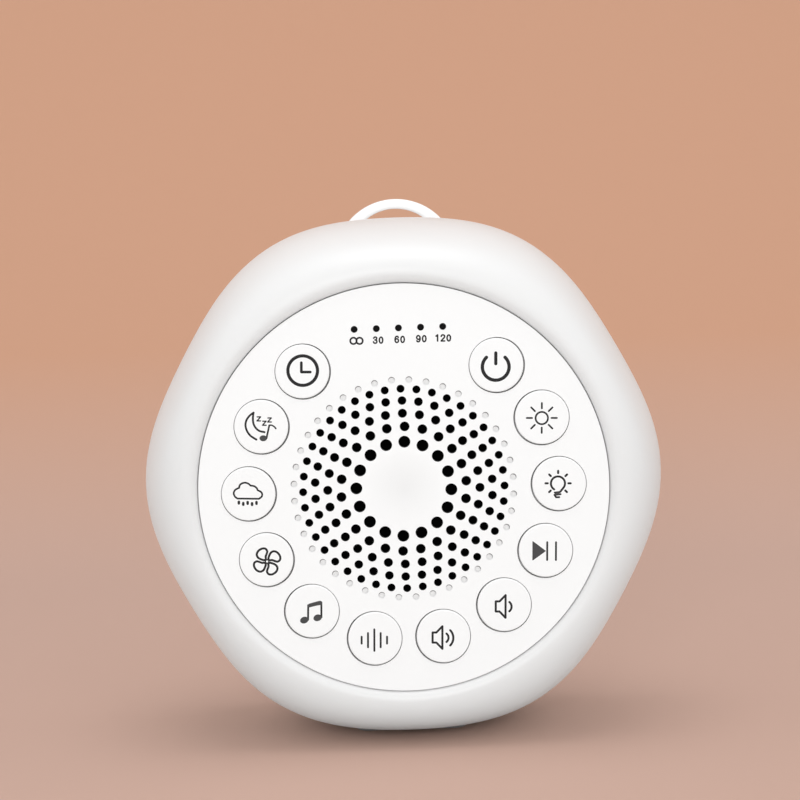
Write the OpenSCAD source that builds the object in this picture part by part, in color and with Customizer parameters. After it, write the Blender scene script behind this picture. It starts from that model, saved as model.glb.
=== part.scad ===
// Hanging white noise sound machine with a night light, on its foot strips.
// Most pieces are drawn in the face frame: +X right, +Y up, +Z out of the face,
// with the front of the rim at z = 0, so that a depth d lies at z = -d.

/* [Body] */
// Radius of the outline at its four high and low corners
corner_r = 62.05; // [61.2:0.05:63]
// Radius of the outline at the softer corners on the left and the right
side_r = 60.85; // [60:0.05:62]
// Radius of the outline at the top and the bottom
top_r = 60.4; // [60:0.05:61.5]
// Radius of the outline at the middle of its four slanting flats
flat_r = 58.85; // [58:0.05:60]
// Depth of the body from the rim to the back face
body_depth = 55; // [54:0.5:60]
// Depth of the widest section
widest_depth = 26.7; // [25:0.1:28]
// Depth of the joint between the front and rear shells
split_depth = 30; // [29:0.5:32]
// Depth at which the rear shell starts to round off
rear_start = 33; // [32.5:0.5:36]
// Inward reach of the rounding of the rear shell
rear_round = 16; // [14:0.5:17]
// Fullness of the rear rounding, 2 is an ellipse
rear_power = 2.4; // [2:0.1:3]
// Wall of both shells
wall = 2.2; // [1.8:0.1:2.4]
// Width of the rounded lip around the face
lip_w = 2.2; // [1.8:0.1:2.6]

/* [Face] */
// Radius of the front panel
panel_r = 46.75; // [46.35:0.1:47.15]
// Thickness of the front panel
panel_t = 2.2; // [2:0.1:2.6]
// Depth of the panel behind the rim
panel_set = 1; // [0.6:0.1:1.4]
// Gap between the panel and the lip
panel_gap = 0.12; // [0.1:0.02:0.3]
// Chamfer of the panel's edge
panel_chamfer = 0.2; // [0.1:0.05:0.5]

/* [Grille] */
// Radii of the rings of sound holes, from the inside
ring_radii = [10.8, 14.3, 17.3, 20.2, 22.9];
// Diameters of the sound holes in each ring
hole_sizes = [2.5, 2, 1.85, 1.75, 1.6];
// Turn of each ring in degrees
ring_turns = [-2.5, 5.6, -0.8, -6, 0];
// Holes in the innermost ring
first_ring_holes = 16; // [12:1:16]
// Holes that each next ring has more
ring_growth = 6; // [4:1:6]
// Radius of the outer ring of blind dimples
dimple_ring_r = 25; // [24.8:0.1:25.4]
// Diameter of a dimple
dimple_d = 1.5; // [1:0.1:1.6]
// Depth of a dimple
dimple_depth = 0.6; // [0.3:0.1:1]

/* [Buttons] */
// Radius of the circle on which the buttons lie
button_ring_r = 35.2; // [35:0.1:35.6]
// Places on that circle, with the two topmost left free
button_places = 14; // [14]
// Diameter of a button cap
button_d = 12.26; // [11.6:0.02:12.4]
// Gap around a button cap
button_gap = 0.25; // [0.2:0.05:0.3]
// Height of a cap over the panel
button_proud = 0.4; // [0.3:0.1:0.8]
// Travel of a button
button_travel = 0.3; // [0.2:0.05:0.35]
// Radius of the rounded edge of a cap
button_round = 0.3; // [0.2:0.1:0.8]
// Reach of the flange past the hole in the panel
flange_reach = 0.6; // [0.4:0.1:0.7]
// Thickness of the flange
flange_t = 0.8; // [0.6:0.1:1]
// Radius of a button's stem
stem_r = 2; // [1.8:0.1:2.6]

/* [Timer lights] */
// Number of timer lights
timer_count = 5; // [3:1:5]
// Distance between two timer lights
timer_pitch = 5; // [4.5:0.1:5.2]
// Height of the row over the middle of the face
timer_row_y = 36.6; // [36.4:0.1:37.4]
// Diameter of a light's hole in the panel
timer_hole_d = 1.35; // [1.2:0.05:1.6]

/* [Speaker] */
// Outer radius of the basket's flange
basket_r = 26.8; // [26.4:0.1:27]
// Radius of the magnet
magnet_r = 16; // [14:0.5:17]
// Thickness of the magnet
magnet_t = 7; // [5:0.5:7.5]
// Outer radius of the cone
cone_r = 19.9; // [19.7:0.1:20.1]
// Travel of the cone each way
cone_travel = 0.8; // [0.4:0.1:1]

/* [Hanging loop] */
// Outer radius of the loop's arch
loop_r = 15.2; // [14.6:0.1:15.6]
// Inner radius of the arch
loop_inner_r = 11.4; // [11:0.1:11.8]
// Height from the pivot to the centre of the arch
loop_leg = 5.6; // [5:0.1:6]
// Height of the pivot over the middle of the face
loop_pivot_y = 43.45; // [42.95:0.1:43.75]
// Thickness of the loop
loop_t = 2.7; // [2.2:0.1:2.8]
// Radius of the loop's pivot pins
loop_pin_r = 1.1; // [0.9:0.05:1.1]

/* [Battery] */
// Radius of the cell
cell_r = 9.1; // [8.9:0.05:9.3]
// Length of the cell
cell_len = 65; // [60:0.5:65]

/* [Feet] */
// Height of the foot strips under the body
foot_proud = 0.3; // [0.2:0.05:0.8]
// Depth of the strips' seats in the shells
foot_seat = 1.2; // [1.1:0.05:1.25]
// Length of a foot strip across the body
foot_len = 26; // [22:1:28]

/* [Hidden] */
$fn = 72;
small_fn = 28;

// Outline and shells: a mean circle and three waves round it pass through the four radii
facets = 72;
corner_mean = (side_r + 2 * corner_r) / 3;
flat_mean = (top_r + 2 * flat_r) / 3;
mean_r = (corner_mean + flat_mean) / 2;
six_wave = (corner_mean - flat_mean) / 2;
four_wave = (side_r - corner_r + top_r - flat_r) / 3;
two_wave = (side_r - corner_r - top_r + flat_r) / 3;
least_r = min(corner_r, side_r, top_r, flat_r);
lip_r = panel_r + panel_gap;
crown_r = lip_r + lip_w;
lip_depth = panel_set + panel_t;
lip_fillet_depth = 2;
rim_power = 2;
back_wall = wall + 0.2;
back_inner = body_depth - back_wall;
axis_z = top_r + foot_proud;
front_y = -body_depth / 2;

// Fits between pieces
run_clear = 0.05;
seat_clear = 0.1;
free_clear = 0.3;

// Skirt of the inner frame, which keeps the light off the works
skirt_t = 1.6;
skirt_out_r = panel_r + 0.2;
skirt_in_r = skirt_out_r - skirt_t;

// Buttons and the switches under them
panel_back = panel_set + panel_t;
button_r = button_d / 2;
flange_r = button_r + button_gap + flange_reach;
flange_top = panel_back + 0.2;
flange_back = flange_top + flange_t;
frame_t = 2;
frame_back = panel_back + frame_t;
plunger_proud = 0.9;
plunger_r = 1.75;
plunger_len = 1.7;
switch_side = 6;
switch_h = 3.4;
stem_end = frame_back + 1.5;
switch_top = stem_end + plunger_proud;
board_front = switch_top + switch_h;
board_t = 1.6;
board_back = board_front + board_t;
board_clear = 0.9;
board_in_r = basket_r + 3.7;
board_out_r = skirt_in_r - board_clear;
post_r = 2.2;
board_mid_r = (board_in_r + board_out_r) / 2;
chips = [[-90, 8, 6], [180, 6, 5], [20, 5, 5]];
chip_t = 1.2;
post_inset = 3;
post_ring_r = board_out_r - post_inset;
post_angles = [for (k = [-2, 2, 6, 8]) -90 + k * 360 / button_places];
function button_angle(i) = -90 + (i - 5.5) * 360 / button_places;

// Small screws of the inside
small_head_r = 1.8;
small_head_t = 1.2;
small_shank_r = 0.85;
small_pilot_r = small_shank_r + run_clear;
small_bite = 4;

// Case screws and their bosses
boss_r = 3.2;
boss_ring_r = skirt_out_r + boss_r + free_clear;
boss_angles = [60, 120, 240, 300];
boss_top = 4.6;
case_shank_r = 1.25;
case_head_r = 2.4;
case_head_t = 1.8;
case_screw_len = 15;
sink_r = case_head_r + free_clear;

// Inner frame
frame_reach = 1.95;
frame_r = crown_r + frame_reach;
light_flange_front = 22.4;
light_flange_t = 1.6;
light_flange_back = light_flange_front + light_flange_t;
light_flange_clear = 1.4;
light_flange_r = least_r - wall - light_flange_clear;
boss_seat_t = 5;
sink_depth = light_flange_back + boss_seat_t;
mesh_seat_w = 1.6;
mesh_t = 0.3;

// Timer lights
window_end = 2.5;
window_w = (timer_count - 1) * timer_pitch + 2 * window_end;
window_h = 4.2;
window_t = 1;
led_t = 0.8;
led_len = 1.6;
led_w = 0.9;
light_pipe_r = 1.1;

// Battery, as far back as the rear wall lets it lie
cell_y = -15.5;
cell_rest = 1;
cell_depth = back_inner - cell_rest - cell_r;
cell_gap = 1.1;

// Speaker, from front to back: the cone is as deep as the room before the cell lets it be
gasket_t = 0.8;
basket_front = frame_back + gasket_t;
basket_t = 1;
basket_rim_w = 3.4;
basket_in_r = basket_r - basket_rim_w;
basket_window = 14;
surround_out_r = basket_in_r + 0.8;
sound_hole_r = max(ring_radii[4] + 1.3, surround_out_r);
gasket_in_r = surround_out_r + seat_clear;
roll_half = (basket_in_r - cone_r) / 2;
roll_rise = 1.75;
roll_r = (roll_half * roll_half + roll_rise * roll_rise) / (2 * roll_rise);
roll_depth = basket_front + roll_r - roll_rise;
roll_mid_r = (basket_in_r + cone_r) / 2;
surround_t = 0.5;
surround_lap = 1.3;
cone_t = 0.6;
coil_out_r = 7.1;
coil_t = 0.45;
coil_in_r = coil_out_r - coil_t;
coil_gap = 0.25;
coil_dip = 0.6;
yoke_t = 3;
speaker_back = cell_depth - cell_r - cell_gap;
yoke_front = speaker_back - yoke_t;
magnet_front = yoke_front - magnet_t;
top_plate_t = 3;
top_plate_front = magnet_front - top_plate_t;
basket_base = top_plate_front;
spider_room = 4.2;
ledge_front = basket_base - spider_room;
ledge_in_r = 15;
ledge_out_r = 17.5;
spider_t = 0.4;
spider_front = ledge_front - spider_t;
cone_base = spider_front - 0.4 - cone_travel;
basket_wall = 1;
cap_rise = 2;
cap_shoulder = 1.3;
cap_t = 0.5;
ear_reach = 1.4;
ear_ring_r = basket_r + ear_reach;
ear_r = 2.4;
ear_bite = 2;
ear_angles = [for (k = [0, 3, 7, 11]) -90 + k * 360 / button_places];
terminal_out = 21.5;
terminal_t = 3;
terminal_w = 6;
terminal_depth = ledge_front - 2.6;

// Night light
light_board_t = 1.2;
light_board_in_r = skirt_out_r + free_clear;
light_board_out_r = light_flange_r - 0.2;
light_board_front = light_flange_front - light_board_t;
light_count = 12;
light_led_t = 0.9;

// Hanging loop and its pocket in the back
loop_inset = 0.3;
loop_back = body_depth - loop_inset;
loop_front = loop_back - loop_t;
loop_axis_depth = loop_back - loop_t / 2;
pocket_clear = 0.4;
pocket_floor = loop_front - pocket_clear;
pocket_half = loop_r + pocket_clear;
pocket_wall = 4;
pocket_backing = 2.2;
loop_pin_len = 1.7;
loop_shift = 1.4;
fold_y = loop_pivot_y - loop_leg;
notch_r = 4;

// Tray of the cell
cell_button_r = 3;
cell_button_h = 1.2;
tray_wall = 1.4;
tray_depth = 9.5;
tray_front = back_inner - tray_depth;
tray_half_len = cell_len / 2 + seat_clear + tray_wall;
tray_half_h = cell_r + tray_wall;
tray_ear_t = 1.6;
tray_post_r = 2.6;
tray_ear_y = tray_half_h + tray_post_r;
tray_ear_rise = 5.6;
tray_ear_front = back_inner - tray_ear_rise;
tray_ear_out = 2;
tray_ear_x = 24;
tray_ears = [[-tray_ear_x, 1], [tray_ear_x, -1]];

// USB-C socket and its board
usb_w = 8.94;
usb_h = 3.26;
usb_len = 7.4;
usb_wall = 0.3;
usb_mouth = body_depth - 0.6;
usb_board_t = 1.2;
usb_board_half = 9;
usb_board_front = 36;
usb_board_back = back_inner - 0.4;
usb_floor_y = -37.2;
usb_y = usb_floor_y + usb_h / 2;
rail_front = 41;

// Foot strips
foot_w = 6;
front_foot_depth = 24;
rear_foot_depth = 36.3;
foot_bottom_y = -(top_r + foot_proud);
foot_top_y = -(top_r - foot_seat);

// Wires
wire_r = 0.6;
wire_rings = 14;
wire_sides = 8;
wire_end_y = usb_floor_y - usb_board_t / 2;
wire_run = 8;
lead_end_x = 6;
lead_out = 14;
power_end_y = -(board_mid_r + chips[0][2] / 2 + 1.6);
power_end_x = 1.2;
speaker_lead_y = 1.5;

BUTTONS = ["timer", "sleep", "rain", "fan", "music", "white_noise",
    "volume_up", "volume_down", "play", "lamp", "brightness", "power"];

// Frames and small helpers

module face() {
    translate([0, front_y, axis_z]) rotate([90, 0, 0]) children();
}

// A bar of radius r between two depths
module rod(r, from, to, fn = $fn) {
    translate([0, 0, -to]) cylinder(r = r, h = to - from, $fn = fn);
}

// A flat shape given thickness between two depths
module slab(from, to) {
    translate([0, 0, -to]) linear_extrude(to - from) children();
}

// Copies on a circle, each turned to its angle
module around(r, angles) {
    for (a = angles) rotate([0, 0, a]) translate([r, 0, 0]) children();
}

module ring_2d(out_r, in_r) {
    difference() {
        circle(r = out_r);
        circle(r = in_r);
    }
}

// A rectangle with half-round ends, length along X
module stadium(len, w) {
    square([len - w, w], center = true);
    for (side = [-1, 1]) translate([side * (len - w) / 2, 0]) circle(d = w, $fn = small_fn);
}

// Radius of the body's outline at an angle
function outline(a) = mean_r + six_wave * cos(6 * a) + four_wave * cos(4 * a) + two_wave * cos(2 * a);

// A section point is [fixed radius, share of the outline, inset from the outline, depth]
function point_r(p, a) = p[0] * (1 - p[1]) + p[1] * (outline(a) - p[2]);
function hoop(p) = [for (i = [0:facets - 1])
    let (a = 360 * i / facets, r = point_r(p, a)) [r * cos(a), r * sin(a), -p[3]]];

// Triangles between hoop j and hoop k
function band(j, k) = [for (i = [0:facets - 1]) let (n = (i + 1) % facets)
    each [[j * facets + i, j * facets + n, k * facets + n],
          [j * facets + i, k * facets + n, k * facets + i]]];

// A quarter round from the crown of the rim to the widest section, inset from the outline
function rim_quarter(inset, steps, from) = [for (i = [0:steps])
    let (a = from + (90 - from) * i / steps)
    [crown_r, pow(sin(a), 2 / rim_power), inset,
     widest_depth - (widest_depth - inset) * pow(cos(a), 2 / rim_power)]];

// A quarter round from the side to the back face, inset from the outside
function rear_quarter(inset, end, steps) = [for (i = [0:steps])
    let (a = 90 * i / steps, out = pow(cos(a), 2 / rear_power), down = pow(sin(a), 2 / rear_power))
    [0, 1, rear_round - (rear_round - inset) * out, rear_start + (end - rear_start) * down]];

// Angle at which the inner quarter of the rim meets the underside of the lip
lip_meet = acos((widest_depth - lip_depth) / (widest_depth - wall));
lip_fillet = [for (a = [0:22.5:67.5])
    [crown_r - lip_w * cos(a), 0, 0, lip_fillet_depth * (1 - sin(a))]];
rim_inner = rim_quarter(wall, 8, lip_meet);
rim_section = concat([[lip_r, 0, 0, lip_depth]], lip_fillet, rim_quarter(0, 12, 0),
    [[0, 1, 0, split_depth], [0, 1, wall, split_depth]], [for (i = [8:-1:0]) rim_inner[i]]);

rear_outer = rear_quarter(0, body_depth, 11);
rear_inner = rear_quarter(wall, back_inner, 8);
rear_section = concat([for (i = [8:-1:0]) rear_inner[i]],
    [[0, 1, wall, split_depth], [0, 1, 0, split_depth]], rear_outer);

// A closed ring-shaped skin through all points of the section
module ring_loft(section) {
    last = len(section) - 1;
    polyhedron(
        points = [for (p = section) each hoop(p)],
        faces = [for (j = [0:last]) each band(j, (j + 1) % (last + 1))],
        convexity = 6);
}

// A bowl-shaped skin whose first and last hoops are closed flat
module bowl_loft(section) {
    last = len(section) - 1;
    floor_face = [for (i = [facets - 1:-1:0]) i];
    back_face = [for (i = [0:facets - 1]) last * facets + i];
    polyhedron(
        points = [for (p = section) each hoop(p)],
        faces = concat([floor_face], [for (j = [0:last - 1]) each band(j, j + 1)], [back_face]),
        convexity = 6);
}

// Points of a quarter round, from the side towards the top of a cap
function edge_round(r, top, round_r) = [for (a = [0:30:90])
    [r - round_r * (1 - cos(a)), top - round_r * (1 - sin(a))]];

// Wires follow a cubic curve through four chosen control points
function curve(p, t) = pow(1 - t, 3) * p[0] + 3 * pow(1 - t, 2) * t * p[1]
    + 3 * (1 - t) * t * t * p[2] + pow(t, 3) * p[3];
function heading(p, t) = let (v = pow(1 - t, 2) * (p[1] - p[0]) + 2 * (1 - t) * t * (p[2] - p[1])
    + t * t * (p[3] - p[2])) v / norm(v);
function wire_ring(p, t) = let (h = heading(p, t), s = cross(h, [1, 1, 0.2]), u = s / norm(s),
    w = cross(h, u)) [for (i = [0:wire_sides - 1])
    curve(p, t) + wire_r * (u * cos(360 * i / wire_sides) + w * sin(360 * i / wire_sides))];

module wire(p) {
    start = [for (i = [0:wire_sides - 1]) i];
    end = [for (i = [wire_sides - 1:-1:0]) wire_rings * wire_sides + i];
    polyhedron(
        points = [for (k = [0:wire_rings]) each wire_ring(p, k / wire_rings)],
        faces = concat([start], [for (k = [0:wire_rings - 1]) for (i = [0:wire_sides - 1])
            let (n = (i + 1) % wire_sides, a = k * wire_sides, b = (k + 1) * wire_sides)
            each [[a + i, b + n, a + n], [a + i, b + i, b + n]]], [end]));
}

// Case

module front_panel() {
    color("white") face() difference() {
        rotate_extrude() polygon([[0, -panel_back], [panel_r, -panel_back],
            [panel_r, -panel_set - panel_chamfer], [panel_r - panel_chamfer, -panel_set],
            [0, -panel_set]]);
        for (k = [0:len(ring_radii) - 1]) {
            holes = first_ring_holes + ring_growth * k;
            around(ring_radii[k], [for (i = [0:holes - 1]) ring_turns[k] + 360 * i / holes])
                rod(hole_sizes[k] / 2, 0, panel_back + 1, 16);
        }
        dimples = first_ring_holes + ring_growth * (len(ring_radii) - 1);
        around(dimple_ring_r, [for (i = [0:dimples - 1]) 360 * (i + 0.5) / dimples])
            rod(dimple_d / 2, 0, panel_set + dimple_depth, 16);
        around(button_ring_r, [for (i = [0:len(BUTTONS) - 1]) button_angle(i)])
            rod(button_r + button_gap, 0, panel_back + 1);
        timer_row() rod(timer_hole_d / 2, 0, panel_back + 1, small_fn);
    }
}

module front_shell() {
    color("white") face() difference() {
        union() {
            ring_loft(rim_section);
            around(boss_ring_r, boss_angles) rod(boss_r, boss_top, light_flange_front, small_fn);
        }
        around(boss_ring_r, boss_angles)
            rod(case_shank_r + run_clear, sink_depth - case_screw_len - 1, light_flange_front + 1, small_fn);
        foot_block(front_foot_depth, seat_clear);
    }
}

module rear_shell() {
    color("white") face() difference() {
        union() {
            bowl_loft(rear_section);
            around(boss_ring_r, boss_angles) rod(boss_r, light_flange_back, back_inner + 0.3, small_fn);
            slab(pocket_floor - pocket_backing, body_depth - back_wall + 0.4) pocket_backing_2d();
            for (ear = tray_ears) translate([ear[0], cell_y + ear[1] * tray_ear_y, 0])
                rod(tray_post_r, tray_ear_front + tray_ear_t, back_inner + 0.4, small_fn);
            usb_rails();
        }
        around(boss_ring_r, boss_angles) {
            rod(case_shank_r + free_clear, light_flange_back - 1, body_depth, small_fn);
            rod(sink_r, sink_depth, body_depth + 1, small_fn);
        }
        slab(pocket_floor, body_depth + 1) pocket_2d();
        loop_pins(loop_pin_r + run_clear, free_clear);
        for (ear = tray_ears) translate([ear[0], cell_y + ear[1] * tray_ear_y, 0])
            rod(small_pilot_r, tray_ear_front, back_inner, small_fn);
        translate([0, usb_y, 0]) {
            slab(back_inner - 1, body_depth + 1) stadium(usb_w + 2 * seat_clear, usb_h + 2 * seat_clear);
            slab(usb_mouth, body_depth + 1) stadium(usb_w + 4, usb_h + 4);
        }
        foot_block(rear_foot_depth, seat_clear);
    }
}

// The pocket in the back holds the loop both raised and folded down
module pocket_2d() {
    translate([0, fold_y]) circle(r = pocket_half);
    translate([-pocket_half, fold_y]) square([2 * pocket_half, corner_r - fold_y]);
    translate([0, fold_y - pocket_half]) circle(r = notch_r, $fn = small_fn);
}

module pocket_backing_2d() {
    half = pocket_half + pocket_wall;
    translate([0, fold_y]) circle(r = half);
    translate([-half, fold_y]) square([2 * half, loop_pivot_y + 3 - fold_y]);
}

// Two slotted rails on the back wall that hold the socket's board
module usb_rails() {
    for (side = [-1, 1]) difference() {
        translate([side * (usb_board_half + 0.4), usb_floor_y - usb_board_t / 2, -(back_inner + 0.4)])
            linear_extrude(back_inner + 0.4 - rail_front) square([2.6, 4.4], center = true);
        slab(rail_front - 1, back_inner) translate([0, usb_floor_y - usb_board_t / 2])
            square([2 * (usb_board_half + run_clear), usb_board_t + 2 * run_clear], center = true);
    }
}

module inner_frame() {
    color("gainsboro") face() difference() {
        union() {
            rod(frame_r, panel_back, frame_back);
            slab(frame_back, light_flange_back) ring_2d(skirt_out_r, skirt_in_r);
            slab(light_flange_front, light_flange_back) ring_2d(light_flange_r, skirt_in_r);
            around(post_ring_r, post_angles) rod(post_r, frame_back - 1, board_front, small_fn);
            around(ear_ring_r, ear_angles) rod(post_r, frame_back - 1, basket_front, small_fn);
            slab(panel_back, board_front - led_t - 0.2) translate([0, timer_row_y])
                square([window_w + 1, window_h + 1], center = true);
        }
        rod(sound_hole_r, 0, frame_back + 1);
        rod(sound_hole_r + mesh_seat_w, 0, panel_back + mesh_t + seat_clear);
        around(button_ring_r, [for (i = [0:len(BUTTONS) - 1]) button_angle(i)])
            rod(flange_r + 0.4, 0, frame_back + 0.5);
        around(boss_ring_r, boss_angles) {
            rod(boss_r + free_clear, 0, frame_back + 1, small_fn);
            rod(case_shank_r + free_clear, light_flange_front - 1, light_flange_back + 1, small_fn);
        }
        around(post_ring_r, post_angles)
            rod(small_pilot_r, board_front - small_bite - 1, board_front + 1, small_fn);
        around(ear_ring_r, ear_angles) rod(small_pilot_r, panel_back + 0.4, basket_front + 1, small_fn);
        slab(0, panel_back + window_t + run_clear) translate([0, timer_row_y])
            square([window_w + 2 * seat_clear, window_h + 2 * seat_clear], center = true);
        timer_row() rod(light_pipe_r, 0, board_front, small_fn);
    }
}

// A foot strip seated in the bottom of the body, or its seat when grown
module foot_block(depth, grow) {
    translate([0, foot_bottom_y, -depth]) rotate([-90, 0, 0])
        linear_extrude(foot_top_y - foot_bottom_y) stadium(foot_len + 2 * grow, foot_w + 2 * grow);
}

module front_foot() {
    color("lightgray") face() foot_block(front_foot_depth, 0);
}

module rear_foot() {
    color("lightgray") face() foot_block(rear_foot_depth, 0);
}

// Hanging loop

module loop_pins(r, extra) {
    for (side = [-1, 1]) translate([side * (loop_r - 1), loop_pivot_y, -loop_axis_depth])
        rotate([0, side * 90, 0]) cylinder(r = r, h = 1 + loop_pin_len + extra, $fn = small_fn);
}

module hanging_loop() {
    arch_y = loop_pivot_y + loop_leg;
    color("white") face() {
        slab(loop_front, loop_back) difference() {
            union() {
                translate([0, arch_y]) circle(r = loop_r);
                translate([-loop_r, loop_pivot_y]) square([2 * loop_r, loop_leg]);
            }
            translate([0, arch_y + loop_shift]) circle(r = loop_inner_r);
            translate([-loop_inner_r, loop_pivot_y - loop_r])
                square([2 * loop_inner_r, loop_r + loop_leg + loop_shift]);
            translate([-loop_r, loop_pivot_y - loop_r]) square([2 * loop_r, loop_r]);
        }
        for (side = [-1, 1]) translate([side * loop_inner_r, loop_pivot_y, -loop_axis_depth])
            rotate([0, side * 90, 0])
                cylinder(d = loop_t, h = loop_r - loop_inner_r, $fn = small_fn);
        loop_pins(loop_pin_r, 0);
    }
}

// Buttons

module button(i) {
    top = -panel_set + button_proud;
    color("white") face() around(button_ring_r, [button_angle(i)]) rotate_extrude()
        polygon(concat([[0, -stem_end], [stem_r, -stem_end], [stem_r, -flange_back],
            [flange_r, -flange_back], [flange_r, -flange_top], [button_r, -flange_top]],
            edge_round(button_r, top, button_round), [[0, top]]));
}

module plunger(i) {
    color("dimgray") face() around(button_ring_r, [button_angle(i)])
        rod(plunger_r, stem_end, stem_end + plunger_len, small_fn);
}

module tact_switches() {
    color("silver") face() around(button_ring_r, [for (i = [0:len(BUTTONS) - 1]) button_angle(i)])
        difference() {
            union() {
                slab(switch_top, board_front) square(switch_side, center = true);
                slab(board_front - 0.3, board_front) square([switch_side + 2.4, 0.8], center = true);
            }
            rod(plunger_r + run_clear, 0, stem_end + plunger_len + button_travel + 0.2, small_fn);
        }
}

// Electronics

module control_board() {
    color("darkgreen") face() difference() {
        union() {
            slab(board_front, board_back) ring_2d(board_out_r, board_in_r);
            for (chip = chips) rotate([0, 0, chip[0]]) translate([board_mid_r, 0, 0])
                slab(board_back, board_back + chip_t) square([chip[2], chip[1]], center = true);
        }
        around(post_ring_r, post_angles) rod(small_shank_r + seat_clear, 0, board_back + 1, small_fn);
    }
}

module timer_row() {
    for (i = [0:timer_count - 1])
        translate([(i - (timer_count - 1) / 2) * timer_pitch, timer_row_y, 0]) children();
}

module timer_leds() {
    color("lightyellow") face() timer_row()
        slab(board_front - led_t, board_front) square([led_len, led_w], center = true);
}

module timer_windows() {
    color("black") face() {
        slab(panel_back, panel_back + window_t) translate([0, timer_row_y])
            square([window_w, window_h], center = true);
        timer_row() rod(timer_hole_d / 2 - run_clear, panel_set + 0.15, panel_back + 0.5, small_fn);
    }
}

module night_light_board() {
    color("white") face() slab(light_board_front, light_flange_front) difference() {
        ring_2d(light_board_out_r, light_board_in_r);
        around(boss_ring_r, boss_angles) circle(r = boss_r + free_clear, $fn = small_fn);
    }
}

module night_light_leds() {
    mid_r = (light_board_in_r + light_board_out_r) / 2;
    color("lightyellow") face()
        around(mid_r, [for (i = [0:light_count - 1]) (i + 0.5) * 360 / light_count])
        slab(light_board_front - light_led_t, light_board_front) square([2.8, 3.5], center = true);
}

// Speaker

module dust_mesh() {
    color("dimgray") face() rod(sound_hole_r + mesh_seat_w - 0.2, panel_back, panel_back + mesh_t);
}

module speaker_gasket() {
    color("black") face() slab(frame_back, basket_front)
        ring_2d(ear_ring_r - post_r - seat_clear, gasket_in_r);
}

module speaker_basket() {
    rim_back = basket_front + basket_t;
    hub_r = coil_out_r + 0.7;
    color("gray") face() difference() {
        union() {
            slab(basket_front, rim_back) {
                ring_2d(basket_r, basket_in_r);
                around(basket_in_r + 0.5, ear_angles) translate([0, -ear_r])
                    square([ear_ring_r - basket_in_r - 0.5, 2 * ear_r]);
                around(ear_ring_r, ear_angles) circle(r = ear_r, $fn = small_fn);
            }
            rotate_extrude() polygon([[basket_in_r, -rim_back + 0.1],
                [basket_in_r + basket_wall, -rim_back + 0.1],
                [ledge_out_r + 0.6, -ledge_front], [ledge_out_r + 0.6, -ledge_front - basket_wall],
                [ledge_in_r + basket_wall, -ledge_front - basket_wall],
                [ledge_in_r + basket_wall, -basket_base], [hub_r, -basket_base],
                [hub_r, -basket_base + basket_wall], [ledge_in_r, -basket_base + basket_wall],
                [ledge_in_r, -ledge_front], [ledge_out_r - 0.3, -ledge_front]]);
            rotate([0, 0, 180]) slab(terminal_depth, terminal_depth + terminal_t)
                translate([ledge_out_r + 1.4, -terminal_w / 2])
                square([terminal_out - ledge_out_r - 1.4, terminal_w]);
        }
        for (a = [45:90:315]) rotate([0, 0, a]) slab(rim_back + 1.2, ledge_front - basket_wall)
            translate([ledge_out_r - 1.5, -basket_window / 2])
            square([basket_r - ledge_out_r, basket_window]);
        around(ear_ring_r, ear_angles) rod(small_shank_r + seat_clear, 0, rim_back + 1, small_fn);
    }
}

module speaker_surround() {
    color("black") face() rotate_extrude() difference() {
        union() {
            translate([roll_mid_r, -roll_depth]) circle(r = roll_r, $fn = small_fn);
            translate([cone_r - surround_lap, -basket_front])
                square([surround_out_r - cone_r + surround_lap, surround_t]);
        }
        translate([roll_mid_r, -roll_depth]) circle(r = roll_r - surround_t, $fn = small_fn);
        translate([cone_r - 2 * surround_lap, -basket_front - 2 * roll_r])
            square([surround_out_r - cone_r + 3 * surround_lap, 2 * roll_r]);
    }
}

module speaker_cone() {
    edge = basket_front;
    color("black") face() rotate_extrude() polygon([[coil_out_r, -cone_base - cone_t],
        [coil_out_r + 1, -cone_base - cone_t], [cone_r - 1.2, -edge - cone_t],
        [cone_r - 0.1, -edge - cone_t], [cone_r - 0.1, -edge], [cone_r - 1.4, -edge],
        [coil_out_r + 0.8, -cone_base], [coil_out_r, -cone_base]]);
}

module speaker_dust_cap() {
    cap_r = coil_out_r + 0.4;
    color("black") face() rotate_extrude() polygon([[0, cap_rise - cone_base],
        [cap_r * 0.6, cap_shoulder - cone_base], [cap_r, -cone_base],
        [cap_r - cap_t * 1.8, -cone_base], [cap_r * 0.55, cap_shoulder - cap_t * 0.8 - cone_base],
        [0, cap_rise - cap_t - cone_base]]);
}

module speaker_spider() {
    mid = (coil_out_r + ledge_out_r) / 2;
    color("goldenrod") face() difference() {
        slab(spider_front, ledge_front) ring_2d(ledge_out_r - 0.6, coil_out_r);
        slab(spider_front - 1, spider_front + spider_t / 2) {
            ring_2d(mid - 1, mid - 1.8);
            ring_2d(mid + 1.4, mid + 0.6);
        }
    }
}

module voice_coil() {
    color("peru") face() slab(cone_base, magnet_front + coil_dip) ring_2d(coil_out_r, coil_in_r);
}

module speaker_top_plate() {
    color("silver") face() slab(top_plate_front, magnet_front)
        ring_2d(magnet_r - 1, coil_out_r + coil_gap);
}

module speaker_magnet() {
    color("dimgray") face() slab(magnet_front, yoke_front) ring_2d(magnet_r, coil_out_r + 1.4);
}

module speaker_yoke() {
    color("silver") face() {
        rod(magnet_r - 1, yoke_front, speaker_back);
        rod(coil_in_r - coil_gap, top_plate_front + 0.2, yoke_front + 0.5);
    }
}

// Battery and charging socket

module battery_cell() {
    color("royalblue") face() translate([-cell_len / 2, cell_y, -cell_depth]) rotate([0, 90, 0]) {
        cylinder(r = cell_r, h = cell_len - cell_button_h);
        cylinder(r = cell_button_r, h = cell_len, $fn = small_fn);
    }
}

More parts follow.
